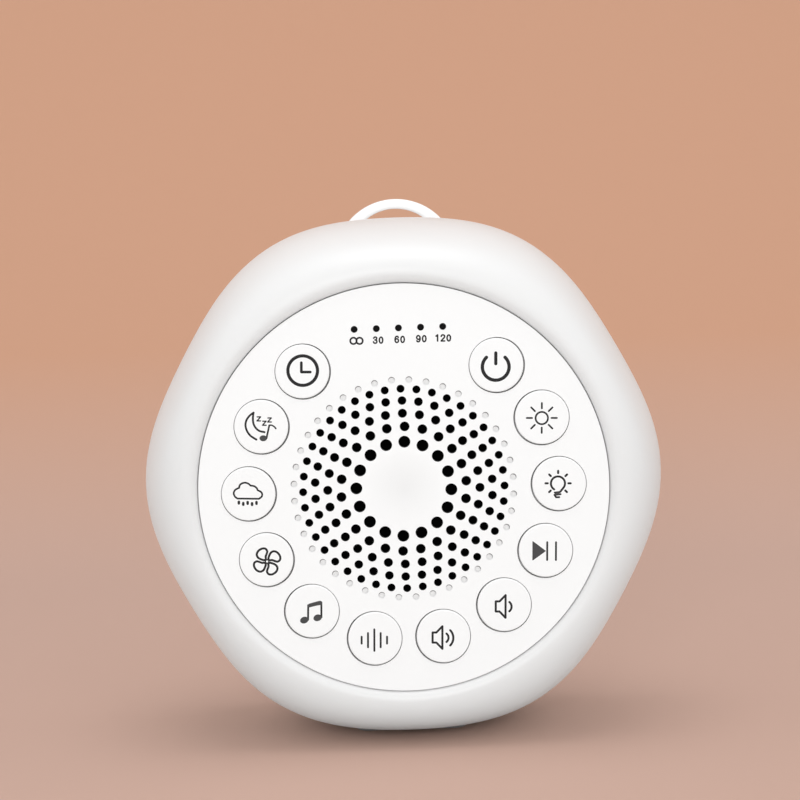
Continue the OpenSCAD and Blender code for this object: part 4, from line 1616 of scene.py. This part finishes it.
@dataclass(frozen=True)
class Ink:
    """Printed ink: strokes and filled shapes that stand a hair proud of the surface."""

    width: float
    finish: Finishes
    thickness: float = 0.03
    turn: float = -1.85
    sharpest: float = 32.0

    def placed(self, path: Sequence[Flat], place: Flat) -> list[Flat]:
        """Moves a path to its place, turned by the small angle at which the pad prints."""
        c, s = math.cos(math.radians(self.turn)), math.sin(math.radians(self.turn))
        return [(place[0] + x * c - y * s, place[1] + x * s + y * c) for x, y in path]

    def runs(self, path: Sequence[Flat]) -> list[list[Flat]]:
        """Parts a path at its sharp corners, where a bent stroke would pinch.

        Args:
            path: The path.

        Returns:
            Its parts, without sharp corners inside them.
        """
        parts = [[path[0]]]
        for before, here, after in zip(path, path[1:], path[2:]):
            parts[-1].append(here)
            coming, going = Vector(here) - Vector(before), Vector(after) - Vector(here)
            if coming.angle(going, 0.0) > math.radians(self.sharpest):
                parts.append([here])
        parts[-1].append(path[-1])
        return parts

    def stroke(self, name: str, path: Sequence[Flat], depth: float) -> Workpiece:
        """Lays a stroke of even width with round ends along a path.

        Args:
            name: The stroke's name.
            path: The points of its middle line.
            depth: The depth of the printed surface.

        Returns:
            The stroke.
        """
        tubes = [self.tube(name, run, depth) for run in self.runs(path)]
        work = tubes[0]
        work.add(*tubes[1:])
        work.edit("SELECT")
        thin = self.thickness / self.width
        bpy.ops.transform.resize(value=(1, thin, 1), center_override=FACE.at(0, 0, depth))
        work.seal()
        work.smooth(60)
        return work

    def tube(self, name: str, path: Sequence[Flat], depth: float) -> Workpiece:
        """Makes a round rod with ball ends along a path without sharp corners.

        Args:
            name: The rod's name.
            path: The points of its middle line.
            depth: Their depth.

        Returns:
            The rod.
        """
        work = Workpiece(name)
        work.line([FACE.at(x, y, depth) for x, y in path])
        take(work.piece)
        bpy.ops.object.convert(target="CURVE")
        curve = bpy.context.active_object.data
        curve.bevel_depth = self.width / 2 * MM
        curve.bevel_resolution = 2
        curve.use_fill_caps = True
        bpy.ops.object.convert(target="MESH")
        work.piece = bpy.context.active_object
        work.edit()
        for x, y in (path[0], path[-1]):
            bpy.ops.mesh.primitive_uv_sphere_add(segments=12, ring_count=6,
                                                 radius=self.width / 2 * MM,
                                                 location=FACE.at(x, y, depth))
        work.close()
        return work

    def patch(self, name: str, path: Sequence[Flat], depth: float) -> Workpiece:
        """Fills an outline.

        Args:
            name: The patch's name.
            path: The outline's points.
            depth: The depth of the printed surface.

        Returns:
            The patch.
        """
        work = Workpiece(name)
        work.sheet([FACE.at(x, y, depth - self.thickness / 2) for x, y in path])
        work.grow(0, self.thickness, 0)
        return work


BUTTON_NAMES = ("timer", "sleep", "rain", "fan", "music", "white_noise", "volume_up", "volume_down",
                "play", "lamp", "brightness", "power")


@dataclass(frozen=True)
class Stroke:
    """One stroke of a pictogram, or a filled patch where its width is nothing."""

    path: Sequence[Flat]
    width: float = 0.0


def clock_marks() -> list[Stroke]:
    """Draws a round clock with its hands at three.

    Returns:
        Its strokes.
    """
    ring, hands = 0.74, 0.62
    return [Stroke(arc((0, 0.28), 3.35, 0, 360, 48), ring),
            Stroke([(-0.3, 2.08), (-0.3, -0.05), (1.72, -0.05)], hands)]


def moon_marks() -> list[Stroke]:
    """Draws a crescent with a note and three sleepy letters.

    Returns:
        Its strokes.
    """
    outer = [(-1.8, 3.3), (-2.75, 2.55), (-3.4, 1.6), (-3.65, 0.5), (-3.4, -0.7), (-2.75, -1.75),
             (-2.1, -2.3), (-1.2, -2.85)]
    inner = [(-1.8, 3.3), (-1.95, 2.2), (-1.92, 1.2), (-1.65, 0.3), (-1.1, -0.45), (-0.4, -0.92),
             (0.65, -1.15)]
    line, fine = 0.46, 0.3
    marks = [Stroke(rounded_path(outer), line), Stroke(rounded_path(inner), line)]
    for x, y in ((-0.62, 1.87), (0.62, 0.88), (1.8, 1.62)):
        letter = [(-0.36, 0.46), (0.4, 0.46), (-0.42, -0.46), (0.4, -0.46)]
        marks.append(Stroke([(x + dx, y + dy) for dx, dy in letter], fine))
    head = [(0.35 + 0.85 * x, -2.55 + 0.68 * y) for x, y in arc((0, 0), 1, 0, 345, 23)]
    marks.append(Stroke(head))
    marks.append(Stroke([(1.08, -2.55), (1.75, 0.4)], 0.42))
    marks.append(Stroke(rounded_path([(1.75, 0.42), (2.3, 0.42), (2.9, 0.05), (3.22, -0.35)]), 0.34))
    return marks


def rain_marks() -> list[Stroke]:
    """Draws a cloud with five drops.

    Returns:
        Its strokes.
    """
    base = [(-2.6, -0.88), (2.25, -0.95)]
    right = [(2.25, -0.95), (2.85, -0.5), (3.02, 0.05), (2.75, 0.62), (2.0, 1.03)]
    bump = [(2.0, 1.03), (1.7, 1.6), (1.1, 1.98), (0.38, 2.08)]
    crown = [(0.38, 2.08), (-0.1, 2.52), (-0.85, 2.75), (-1.65, 2.55), (-2.1, 2.1), (-2.2, 1.58)]
    left = [(-2.2, 1.58), (-3.05, 1.15), (-3.45, 0.4), (-3.2, -0.4), (-2.6, -0.88)]
    cloud = base[:1] + rounded_path(right)
    for part in (bump, crown, left):
        cloud += rounded_path(part)[1:]
    drops = [(-2.3, -1.78), (-1.3, -2.08), (-0.3, -1.85), (0.7, -2.12), (1.7, -1.86)]
    line, drop, lowered = 0.42, 0.6, 0.08
    cloud = [(x, y - lowered) for x, y in cloud]
    return [Stroke(cloud, line)] + [Stroke([(x, y + 0.08), (x, y - 0.3)], drop) for x, y in drops]


def fan_marks() -> list[Stroke]:
    """Draws four blades round a small hub.

    Returns:
        Its strokes.
    """
    blade = [(0.3, 0.62), (0.55, 1.5), (0.95, 2.1), (1.6, 2.35), (2.4, 2.02), (2.95, 1.2), (2.95, 0.4),
             (2.4, -0.03), (1.75, 0.1), (1.15, 0.32), (0.62, 0.3)]
    (hub_x, hub_y), line, fine = (0.05, -0.3), 0.5, 0.3
    marks = [Stroke(arc((hub_x, hub_y), 0.4, 0, 360, 20), fine)]
    for quarter in range(4):
        turn = math.radians(90 * quarter)
        c, s = math.cos(turn), math.sin(turn)
        path = rounded_path(blade, closed=True, steps=4)
        marks.append(Stroke([(hub_x + x * c - y * s, hub_y + x * s + y * c) for x, y in path], line))
    return marks


def music_marks() -> list[Stroke]:
    """Draws two beamed notes.

    Returns:
        Its strokes.
    """
    marks = []
    for x, y in ((-1.72, -1.95), (1.33, -1.42)):
        head = [(x + 0.95 * a - 0.12 * b, y + 0.22 * a + 0.76 * b)
                for a, b in arc((0, 0), 1, 0, 345, 23)]
        marks.append(Stroke(head))
    stem, beam = 0.45, 0.8
    marks.append(Stroke([(-0.85, -1.85), (-0.8, 1.5)], stem))
    marks.append(Stroke([(2.2, -1.3), (2.2, 2.15)], stem))
    marks.append(Stroke([(-0.98, 0.98), (2.3, 1.62), (2.42, 2.2), (2.15, 2.5), (1.7, 2.5), (-0.55, 1.88),
                         (-0.95, 1.6)]))
    marks.append(Stroke([(-0.62, 1.38), (2.0, 2.02)], beam))
    return marks


def noise_marks() -> list[Stroke]:
    """Draws five bars of a sound wave.

    Returns:
        Its strokes.
    """
    heights = (0.8, 1.65, 2.5, 1.65, 0.8)
    (middle, level), pitch, line = (-0.05, -0.3), 1.45, 0.45
    places = [middle + pitch * (i - 2) for i in range(len(heights))]
    return [Stroke([(x, level - h), (x, level + h)], line) for x, h in zip(places, heights)]


def horn(x: float, y: float) -> Stroke:
    """Draws the outline of a loudspeaker.

    Args:
        x: The place of its mouth.
        y: The height of its middle.

    Returns:
        The outline.
    """
    half = [(0, 2.62), (-1.38, 1.17), (-2.24, 1.17)]
    path = [(x + dx, y + dy) for dx, dy in half] + [(x + dx, y - dy) for dx, dy in reversed(half)]
    return Stroke(path + path[:1], 0.5)


def louder_marks() -> list[Stroke]:
    """Draws a loudspeaker with two waves."""
    return [horn(-0.15, -0.22), Stroke(arc((0.0, -0.28), 1.25, -51, 51, 10), 0.5),
            Stroke(arc((-0.2, -0.3), 2.55, -44, 44, 14), 0.5)]


def softer_marks() -> list[Stroke]:
    """Draws a loudspeaker with one wave."""
    return [horn(0.38, -0.28), Stroke(arc((0.34, -0.33), 1.41, -50, 50, 10), 0.5)]


def play_marks() -> list[Stroke]:
    """Draws a filled triangle and two bars.

    Returns:
        Its strokes.
    """
    triangle = [(-2.82, 2.12), (-2.82, -2.1), (0.02, -0.03)]
    border, bar = 0.2, 0.44
    return [Stroke(triangle), Stroke(triangle + triangle[:1], border),
            Stroke([(0.45, 2.0), (0.45, -2.1)], bar), Stroke([(2.45, 1.98), (2.45, -2.12)], bar)]


def bulb_marks() -> list[Stroke]:
    """Draws a light bulb with seven rays.

    Returns:
        Its strokes.
    """
    globe = arc((-0.18, 0.12), 1.6, 238, -28, 26)
    line, thread, ray_line = 0.48, 0.44, 0.5
    marks = [Stroke(globe + [(0.82, -1.2), (0.35, -1.78)], line)]
    marks += [Stroke([(-0.9, -1.98), (0.3, -1.84)], thread), Stroke([(-0.95, -2.5), (0.42, -2.34)], thread),
              Stroke([(-0.95, -2.5), (-0.58, -3.05), (0.12, -3.03)], thread),
              Stroke([(-0.9, -1.98), (0.3, -1.84), (0.1, -2.38), (-0.9, -2.5)])]
    for angle in (-45, 0, 45, 90, 135, 180, 225):
        ray = [arc((-0.15, 0.15), reach, angle, angle, 1)[0] for reach in (2.35, 2.85)]
        marks.append(Stroke(ray, ray_line))
    return marks


def sun_marks() -> list[Stroke]:
    """Draws a sun with eight rays.

    Returns:
        Its strokes.
    """
    line = 0.42
    marks = [Stroke(arc((0.05, -0.08), 1.4, 0, 360, 36), line)]
    for angle in range(0, 360, 45):
        ray = [arc((0.05, -0.06), reach, angle, angle, 1)[0] for reach in (2.2, 3.4)]
        marks.append(Stroke(ray, line))
    return marks


def power_marks() -> list[Stroke]:
    """Draws an open ring with a bar.

    Returns:
        Its strokes.
    """
    ring, bar = 0.78, 0.74
    return [Stroke(arc((-0.26, -0.35), 3.02, 134, 406, 44), ring),
            Stroke([(-0.25, 2.82), (-0.25, 0.36)], bar)]


@dataclass
class PushButton:
    """A round cap with its pictogram."""

    name: str
    marks: Callable[[], list[Stroke]]
    radius: float = 6.13
    edge: float = 0.3
    edge_steps: int = 6
    flat_share: float = 0.6
    flange_r: float = 6.98
    flange_front: float = 3.4
    flange_back: float = 4.2
    stem_r: float = 2.0
    steps: int = 96
    play: Flat = (0.12, 0.07)
    left_sitting: tuple[str, ...] = ("timer", "sleep", "rain", "fan", "power")

    def cap_profile(self) -> list[Flat]:
        """Gives the cap's section, from the middle of its top to the end of its stem.

        Returns:
            Radii and depths, for a lathe.
        """
        top, end = FACE.node_depths(f"button_{self.name}")
        return [(0, top), (self.radius * self.flat_share, top),
                *eased_edge(self.radius, top, self.edge, self.edge_steps),
                (self.radius, self.flange_front), (self.flange_r, self.flange_front),
                (self.flange_r, self.flange_back), (self.stem_r, self.flange_back),
                (self.stem_r, end), (0, end)]

    @property
    def body(self) -> str:
        """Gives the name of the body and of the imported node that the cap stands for."""
        return f"button_{self.name}"

    def pattern(self) -> Workpiece:
        """Makes the cap that the others are copied from, at this button's place.

        Returns:
            The cap.
        """
        cap = Workpiece("cap_pattern")
        cap.lathe(self.cap_profile(), FACE.node_middle(self.body), self.steps)
        cap.smooth(30, flat_first=True)
        return cap

    def build(self, pattern: Workpiece, made_at: Flat) -> None:
        """Copies the cap to this button's place, where it sits off-centre in the play of its hole.

        Args:
            pattern: The cap to copy.
            made_at: The x and y at which it was made.
        """
        x, y = FACE.node_middle(self.body)
        sideways, up = self.play[0] * (-1 if self.name in self.left_sitting else 1), self.play[1]
        offset = Vector(((x + sideways - made_at[0]) * MM, 0, (y + up - made_at[1]) * MM))
        pattern.copy_to(offset, f"cap_{self.name}").install(Finishes.BUTTON, self.body, [self.body])
        self.print_marks(x, y)

    def print_marks(self, x: float, y: float) -> None:
        """Prints the pictogram on the cap.

        Args:
            x: The cap's middle.
            y: The cap's middle.
        """
        depth = FACE.node_depths(self.body)[0]
        lines, fills = [], []
        for number, mark in enumerate(self.marks()):
            ink = Ink(mark.width, Finishes.INK if mark.width else Finishes.FILL)
            path = ink.placed(mark.path, (x, y))
            name = f"mark_{self.name}_{number}"
            if mark.width:
                lines.append(ink.stroke(name, path, depth))
            else:
                fills.append(ink.patch(name, path, depth))
        for group, finish, suffix in ((lines, Finishes.INK, "lines"), (fills, Finishes.FILL, "fill")):
            if group:
                group[0].add(*group[1:])
                group[0].piece.name = f"pictogram_{self.name}_{suffix}"
                group[0].install(finish, self.body, slot=Finishes.BUTTON)


@dataclass
class ButtonSet:
    """The twelve buttons round the grille."""

    pictograms: tuple[Callable[[], list[Stroke]], ...] = (
        clock_marks, moon_marks, rain_marks, fan_marks, music_marks, noise_marks, louder_marks,
        softer_marks, play_marks, bulb_marks, sun_marks, power_marks)

    def build(self) -> None:
        """Makes one cap, copies it for every button, and prints every pictogram."""
        buttons = [PushButton(name, marks) for name, marks in zip(BUTTON_NAMES, self.pictograms)]
        pattern, made_at = buttons[0].pattern(), FACE.node_middle(buttons[0].body)
        for button in buttons:
            button.build(pattern, made_at)
        bpy.data.objects.remove(pattern.piece)


# ---------------------------------------------------------------------------------------------
# Loop and feet


@dataclass
class HangingLoop:
    """The folding loop: a rounded strap with two pivot pins."""

    outer_r: float = 15.2
    outer_steps: int = 60
    inner_r: float = 11.4
    inner_steps: int = 52
    leg: float = 5.6
    shift: float = 1.4
    edge: float = 0.75
    pin_r: float = 1.1
    pin_edge: float = 0.2
    pin_sides: int = 28
    pin_out: float = 1.7
    pivot_y: float = 43.45

    def build(self) -> None:
        """Builds the strap and its pins, and installs them."""
        front, back = FACE.node_depths("hanging_loop")
        arch = self.pivot_y + self.leg
        foot = self.pivot_y - (back - front) / 2
        inner_y = arch + self.shift
        outer = [(self.outer_r, foot), *arc((0, arch), self.outer_r, 0, 180, self.outer_steps),
                 (-self.outer_r, foot)]
        inner = [(-self.inner_r, foot), *arc((0, inner_y), self.inner_r, 180, 0, self.inner_steps),
                 (self.inner_r, foot)]
        work = Workpiece("hanging_strap")
        work.sheet([FACE.at(x, y, front) for x, y in outer + inner])
        work.grow(0, back - front, 0)
        work.finish_with("BEVEL", limit_method="ANGLE", angle_limit=math.radians(40),
                         width=self.edge * MM, segments=5, use_clamp_overlap=True)
        work.smooth(40, flat_first=True)
        work.add(*[self.pin(side) for side in (-1, 1)])
        work.install(Finishes.LOOP, "loop", ["hanging_loop"])

    def rod(self, side: int, radius: float, end: float) -> Workpiece:
        """Makes a round rod on the pivot's axis.

        Args:
            side: 1 on the right, -1 on the left.
            radius: Its radius.
            end: How far out it reaches.

        Returns:
            The rod.
        """
        start = self.outer_r - PAST
        depth = sum(FACE.node_depths("hanging_loop")) / 2
        middle = FACE.at(side * (start + end) / 2, self.pivot_y, depth)
        work = Workpiece("pivot_rod")
        work.edit()
        bpy.ops.mesh.primitive_cylinder_add(vertices=self.pin_sides, radius=radius * MM,
                                            depth=(end - start) * MM, location=middle,
                                            rotation=(0, math.pi / 2, 0))
        work.close()
        return work

    def pin(self, side: int) -> Workpiece:
        """Makes one pivot pin with a rounded end.

        Args:
            side: 1 on the right, -1 on the left.

        Returns:
            The pin.
        """
        work = self.rod(side, self.pin_r, self.outer_r + self.pin_out)
        work.finish_with("BEVEL", limit_method="ANGLE", angle_limit=CREASE, width=self.pin_edge * MM,
                         segments=2)
        work.smooth(30)
        return work


@dataclass
class FootStrip:
    """A silicone strip let into the bottom."""

    node: str
    edge: float = 0.22

    def block(self, grow: float, name: str) -> Workpiece:
        """Makes the strip's block, or its seat's when grown.

        Args:
            grow: How far it reaches past the strip all round.
            name: The block's name.

        Returns:
            The block.
        """
        low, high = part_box(self.node)
        left, bottom, front = FACE.find(low)
        right, top, back = FACE.find(high)
        radius = (back - front) / 2
        side, middle = (right - left) / 2 - radius, (front + back) / 2
        bottom, top = (bottom - grow, top) if grow else (bottom, top)
        work = Workpiece(name)
        work.sheet([FACE.at(x, bottom, middle + d) for x, d in round_ended((0, 0), side, radius + grow)])
        work.grow(0, 0, top - bottom)
        return work

    def build(self) -> None:
        """Builds the strip and installs it."""
        work = self.block(0, f"{self.node}_strip")
        work.finish_with("BEVEL", limit_method="ANGLE", angle_limit=CREASE, width=self.edge * MM,
                         segments=3)
        work.smooth(35, flat_first=True)
        work.install(Finishes.SILICONE, "housing", [self.node])


# ---------------------------------------------------------------------------------------------
# Inside


@dataclass
class Insides:
    """The pieces of the frame that stay as they are and get their finishes."""

    finishes: dict[Finishes, tuple[str, ...]] = field(default_factory=lambda: {
        Finishes.FRAME: ("inner_frame", "battery_tray"),
        Finishes.SWITCH: ("tact_switches",),
        Finishes.BOARD: ("control_board", "usb_board"),
        Finishes.WHITE_BOARD: ("night_light_board",),
        Finishes.LED: ("timer_leds", "night_light_leds"),
        Finishes.WINDOW: ("timer_windows",),
        Finishes.MESH: ("dust_mesh",),
        Finishes.FOAM: ("speaker_gasket",),
        Finishes.PRESSED: ("speaker_basket", "speaker_top_plate", "speaker_yoke"),
        Finishes.SURROUND: ("speaker_surround",),
        Finishes.CONE: ("speaker_cone", "speaker_dust_cap"),
        Finishes.SPIDER: ("speaker_spider",),
        Finishes.COPPER: ("voice_coil",),
        Finishes.FERRITE: ("speaker_magnet",),
        Finishes.CELL: ("battery_cell",),
        Finishes.SOCKET: ("usb_socket",),
        Finishes.SCREW: ("case_screws", "board_screws", "speaker_screws", "tray_screws"),
        Finishes.LEAD_RED: ("speaker_leads", "battery_leads"),
        Finishes.LEAD_WHITE: ("power_leads",),
        Finishes.PLUNGER: tuple(f"plunger_{name}" for name in BUTTON_NAMES),
    })

    def dress(self) -> None:
        """Puts each finish on its nodes."""
        for finish, nodes in self.finishes.items():
            for node in nodes:
                finish.coat(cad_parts[node])
            LOG.info("%s on %s", finish.slot, ", ".join(nodes))


# ---------------------------------------------------------------------------------------------
# Studio


@dataclass(frozen=True)
class Lamp:
    """A soft round lamp: where it hangs and its width in metres, and its power in watts."""

    name: str
    place: tuple[float, float, float]
    size: float
    power: float

    def hang(self) -> None:
        """Hangs the lamp so that it faces the machine."""
        deselect()
        bpy.ops.object.light_add(type="AREA", location=self.place)
        lamp = bpy.context.active_object
        lamp.name = self.name
        lamp.data.shape = "DISK"
        lamp.data.size = self.size
        lamp.data.energy = self.power
        aim = FACE.at(0, 0, 20) - Vector(self.place)
        lamp.rotation_euler = aim.to_track_quat("-Z", "Y").to_euler()


@dataclass
class Studio:
    """A warm sweep, soft lamps and the camera."""

    picture: float = 800.0
    eye_pixels: float = 2500.0
    pixels_per_mm: float = 4.4
    face_u: float = 403.85
    face_v: float = 488.9
    pitch: float = 6.23
    roll: float = -1.92
    sensor: float = 36.0
    sweep_width: float = 3.0
    sweep_front: float = 1.6
    sweep_back: float = 0.55
    sweep_height: float = 1.6
    sweep_round: float = 0.35
    wall_colour: tuple[float, float, float] = (0.55, 0.3, 0.195)
    floor_colour: tuple[float, float, float] = (0.53, 0.35, 0.285)
    floor_to: float = 60.0
    grain: float = 400.0
    grain_rise: float = 4.0
    bounce_colour: tuple[float, float, float] = (0.66, 0.65, 0.64)
    sky: float = 0.92
    lamps: tuple[Lamp, ...] = (Lamp("key_lamp", (-0.15, -1.3, 0.45), 0.3, 2.9),
                               Lamp("fill_lamp", (0.6, -1.1, 0.35), 0.9, 1.3),
                               Lamp("top_lamp", (0.0, -0.1, 1.1), 0.7, 2.45))

    def sweep(self) -> None:
        """Builds the floor that curves up into a backdrop."""
        work = Workpiece("studio_sweep")
        half = self.sweep_width / 2
        work.line([Vector((-half, -self.sweep_front, 0)), Vector((-half, self.sweep_back, 0)),
                   Vector((-half, self.sweep_back, self.sweep_height))])
        work.grow(self.sweep_width / MM, 0, 0, inside=True)
        work.finish_with("BEVEL", width=self.sweep_round, segments=24, limit_method="ANGLE",
                         angle_limit=CREASE)
        work.smooth(60)
        board = ShaderBoard("studio_paint")
        seen = 0.0
        for ray in ("Is Camera Ray", "Is Glossy Ray", "Is Transmission Ray"):
            seen = board.node("ShaderNodeLightPath", output=ray) + seen
        grain = board.noise(self.grain, 2)
        _, _, height = board.axes()
        share = (height + grain * self.grain_rise) / self.floor_to
        shown = board.blend(share, self.floor_colour, self.wall_colour)
        board.set(Base_Color=board.mix(seen.kept(), self.bounce_colour, shown), Roughness=0.85)
        work.piece.data.materials.append(board.material)

    def camera(self) -> None:
        """Sets the camera so that the face lies where it should in the picture."""
        turn = (Matrix.Rotation(math.radians(self.roll), 3, "Y")
                @ Matrix.Rotation(math.radians(self.pitch), 3, "X"))
        half = self.picture / 2
        away = Vector(((self.face_u - half) / self.pixels_per_mm, self.eye_pixels / self.pixels_per_mm,
                       -(self.face_v - half) / self.pixels_per_mm)) * MM
        back = turn.transposed()
        panel_depth = FACE.node_depths("front_panel")[0]
        place = FACE.at(0, 0, panel_depth) - back @ away
        right, forward, up = (back @ Vector(axis) for axis in ((1, 0, 0), (0, 1, 0), (0, 0, 1)))
        data = bpy.data.cameras.new("camera")
        data.sensor_width = self.sensor
        data.lens = self.eye_pixels / self.picture * self.sensor
        camera = bpy.data.objects.new("camera", data)
        bpy.context.scene.collection.objects.link(camera)
        axes = Matrix((right, up, -forward)).transposed().to_4x4()
        camera.matrix_world = Matrix.Translation(place) @ axes
        bpy.context.scene.camera = camera

    def world(self) -> None:
        """Lights everything a little from all round."""
        world = bpy.data.worlds.new("studio_air")
        bpy.context.scene.world = world
        world.use_nodes = True
        air = world.node_tree.nodes["Background"]
        air.inputs["Color"].default_value = (1, 1, 1, 1)
        air.inputs["Strength"].default_value = self.sky
        bpy.context.scene.view_settings.view_transform = "Standard"

    def build(self) -> None:
        """Builds the whole studio."""
        self.sweep()
        for lamp in self.lamps:
            lamp.hang()
        self.world()
        self.camera()


def main() -> None:
    """Builds and dresses the machine, piece by piece."""
    logging.basicConfig(level=logging.INFO, format="%(message)s")
    Insides().dress()
    FrontPanel().build()
    FrontShell().build()
    RearShell().build()
    TimerRow().build()
    ButtonSet().build()
    HangingLoop().build()
    for node in ("front_foot", "rear_foot"):
        FootStrip(node).build()
    Studio().build()


if __name__ == "__main__":
    main()
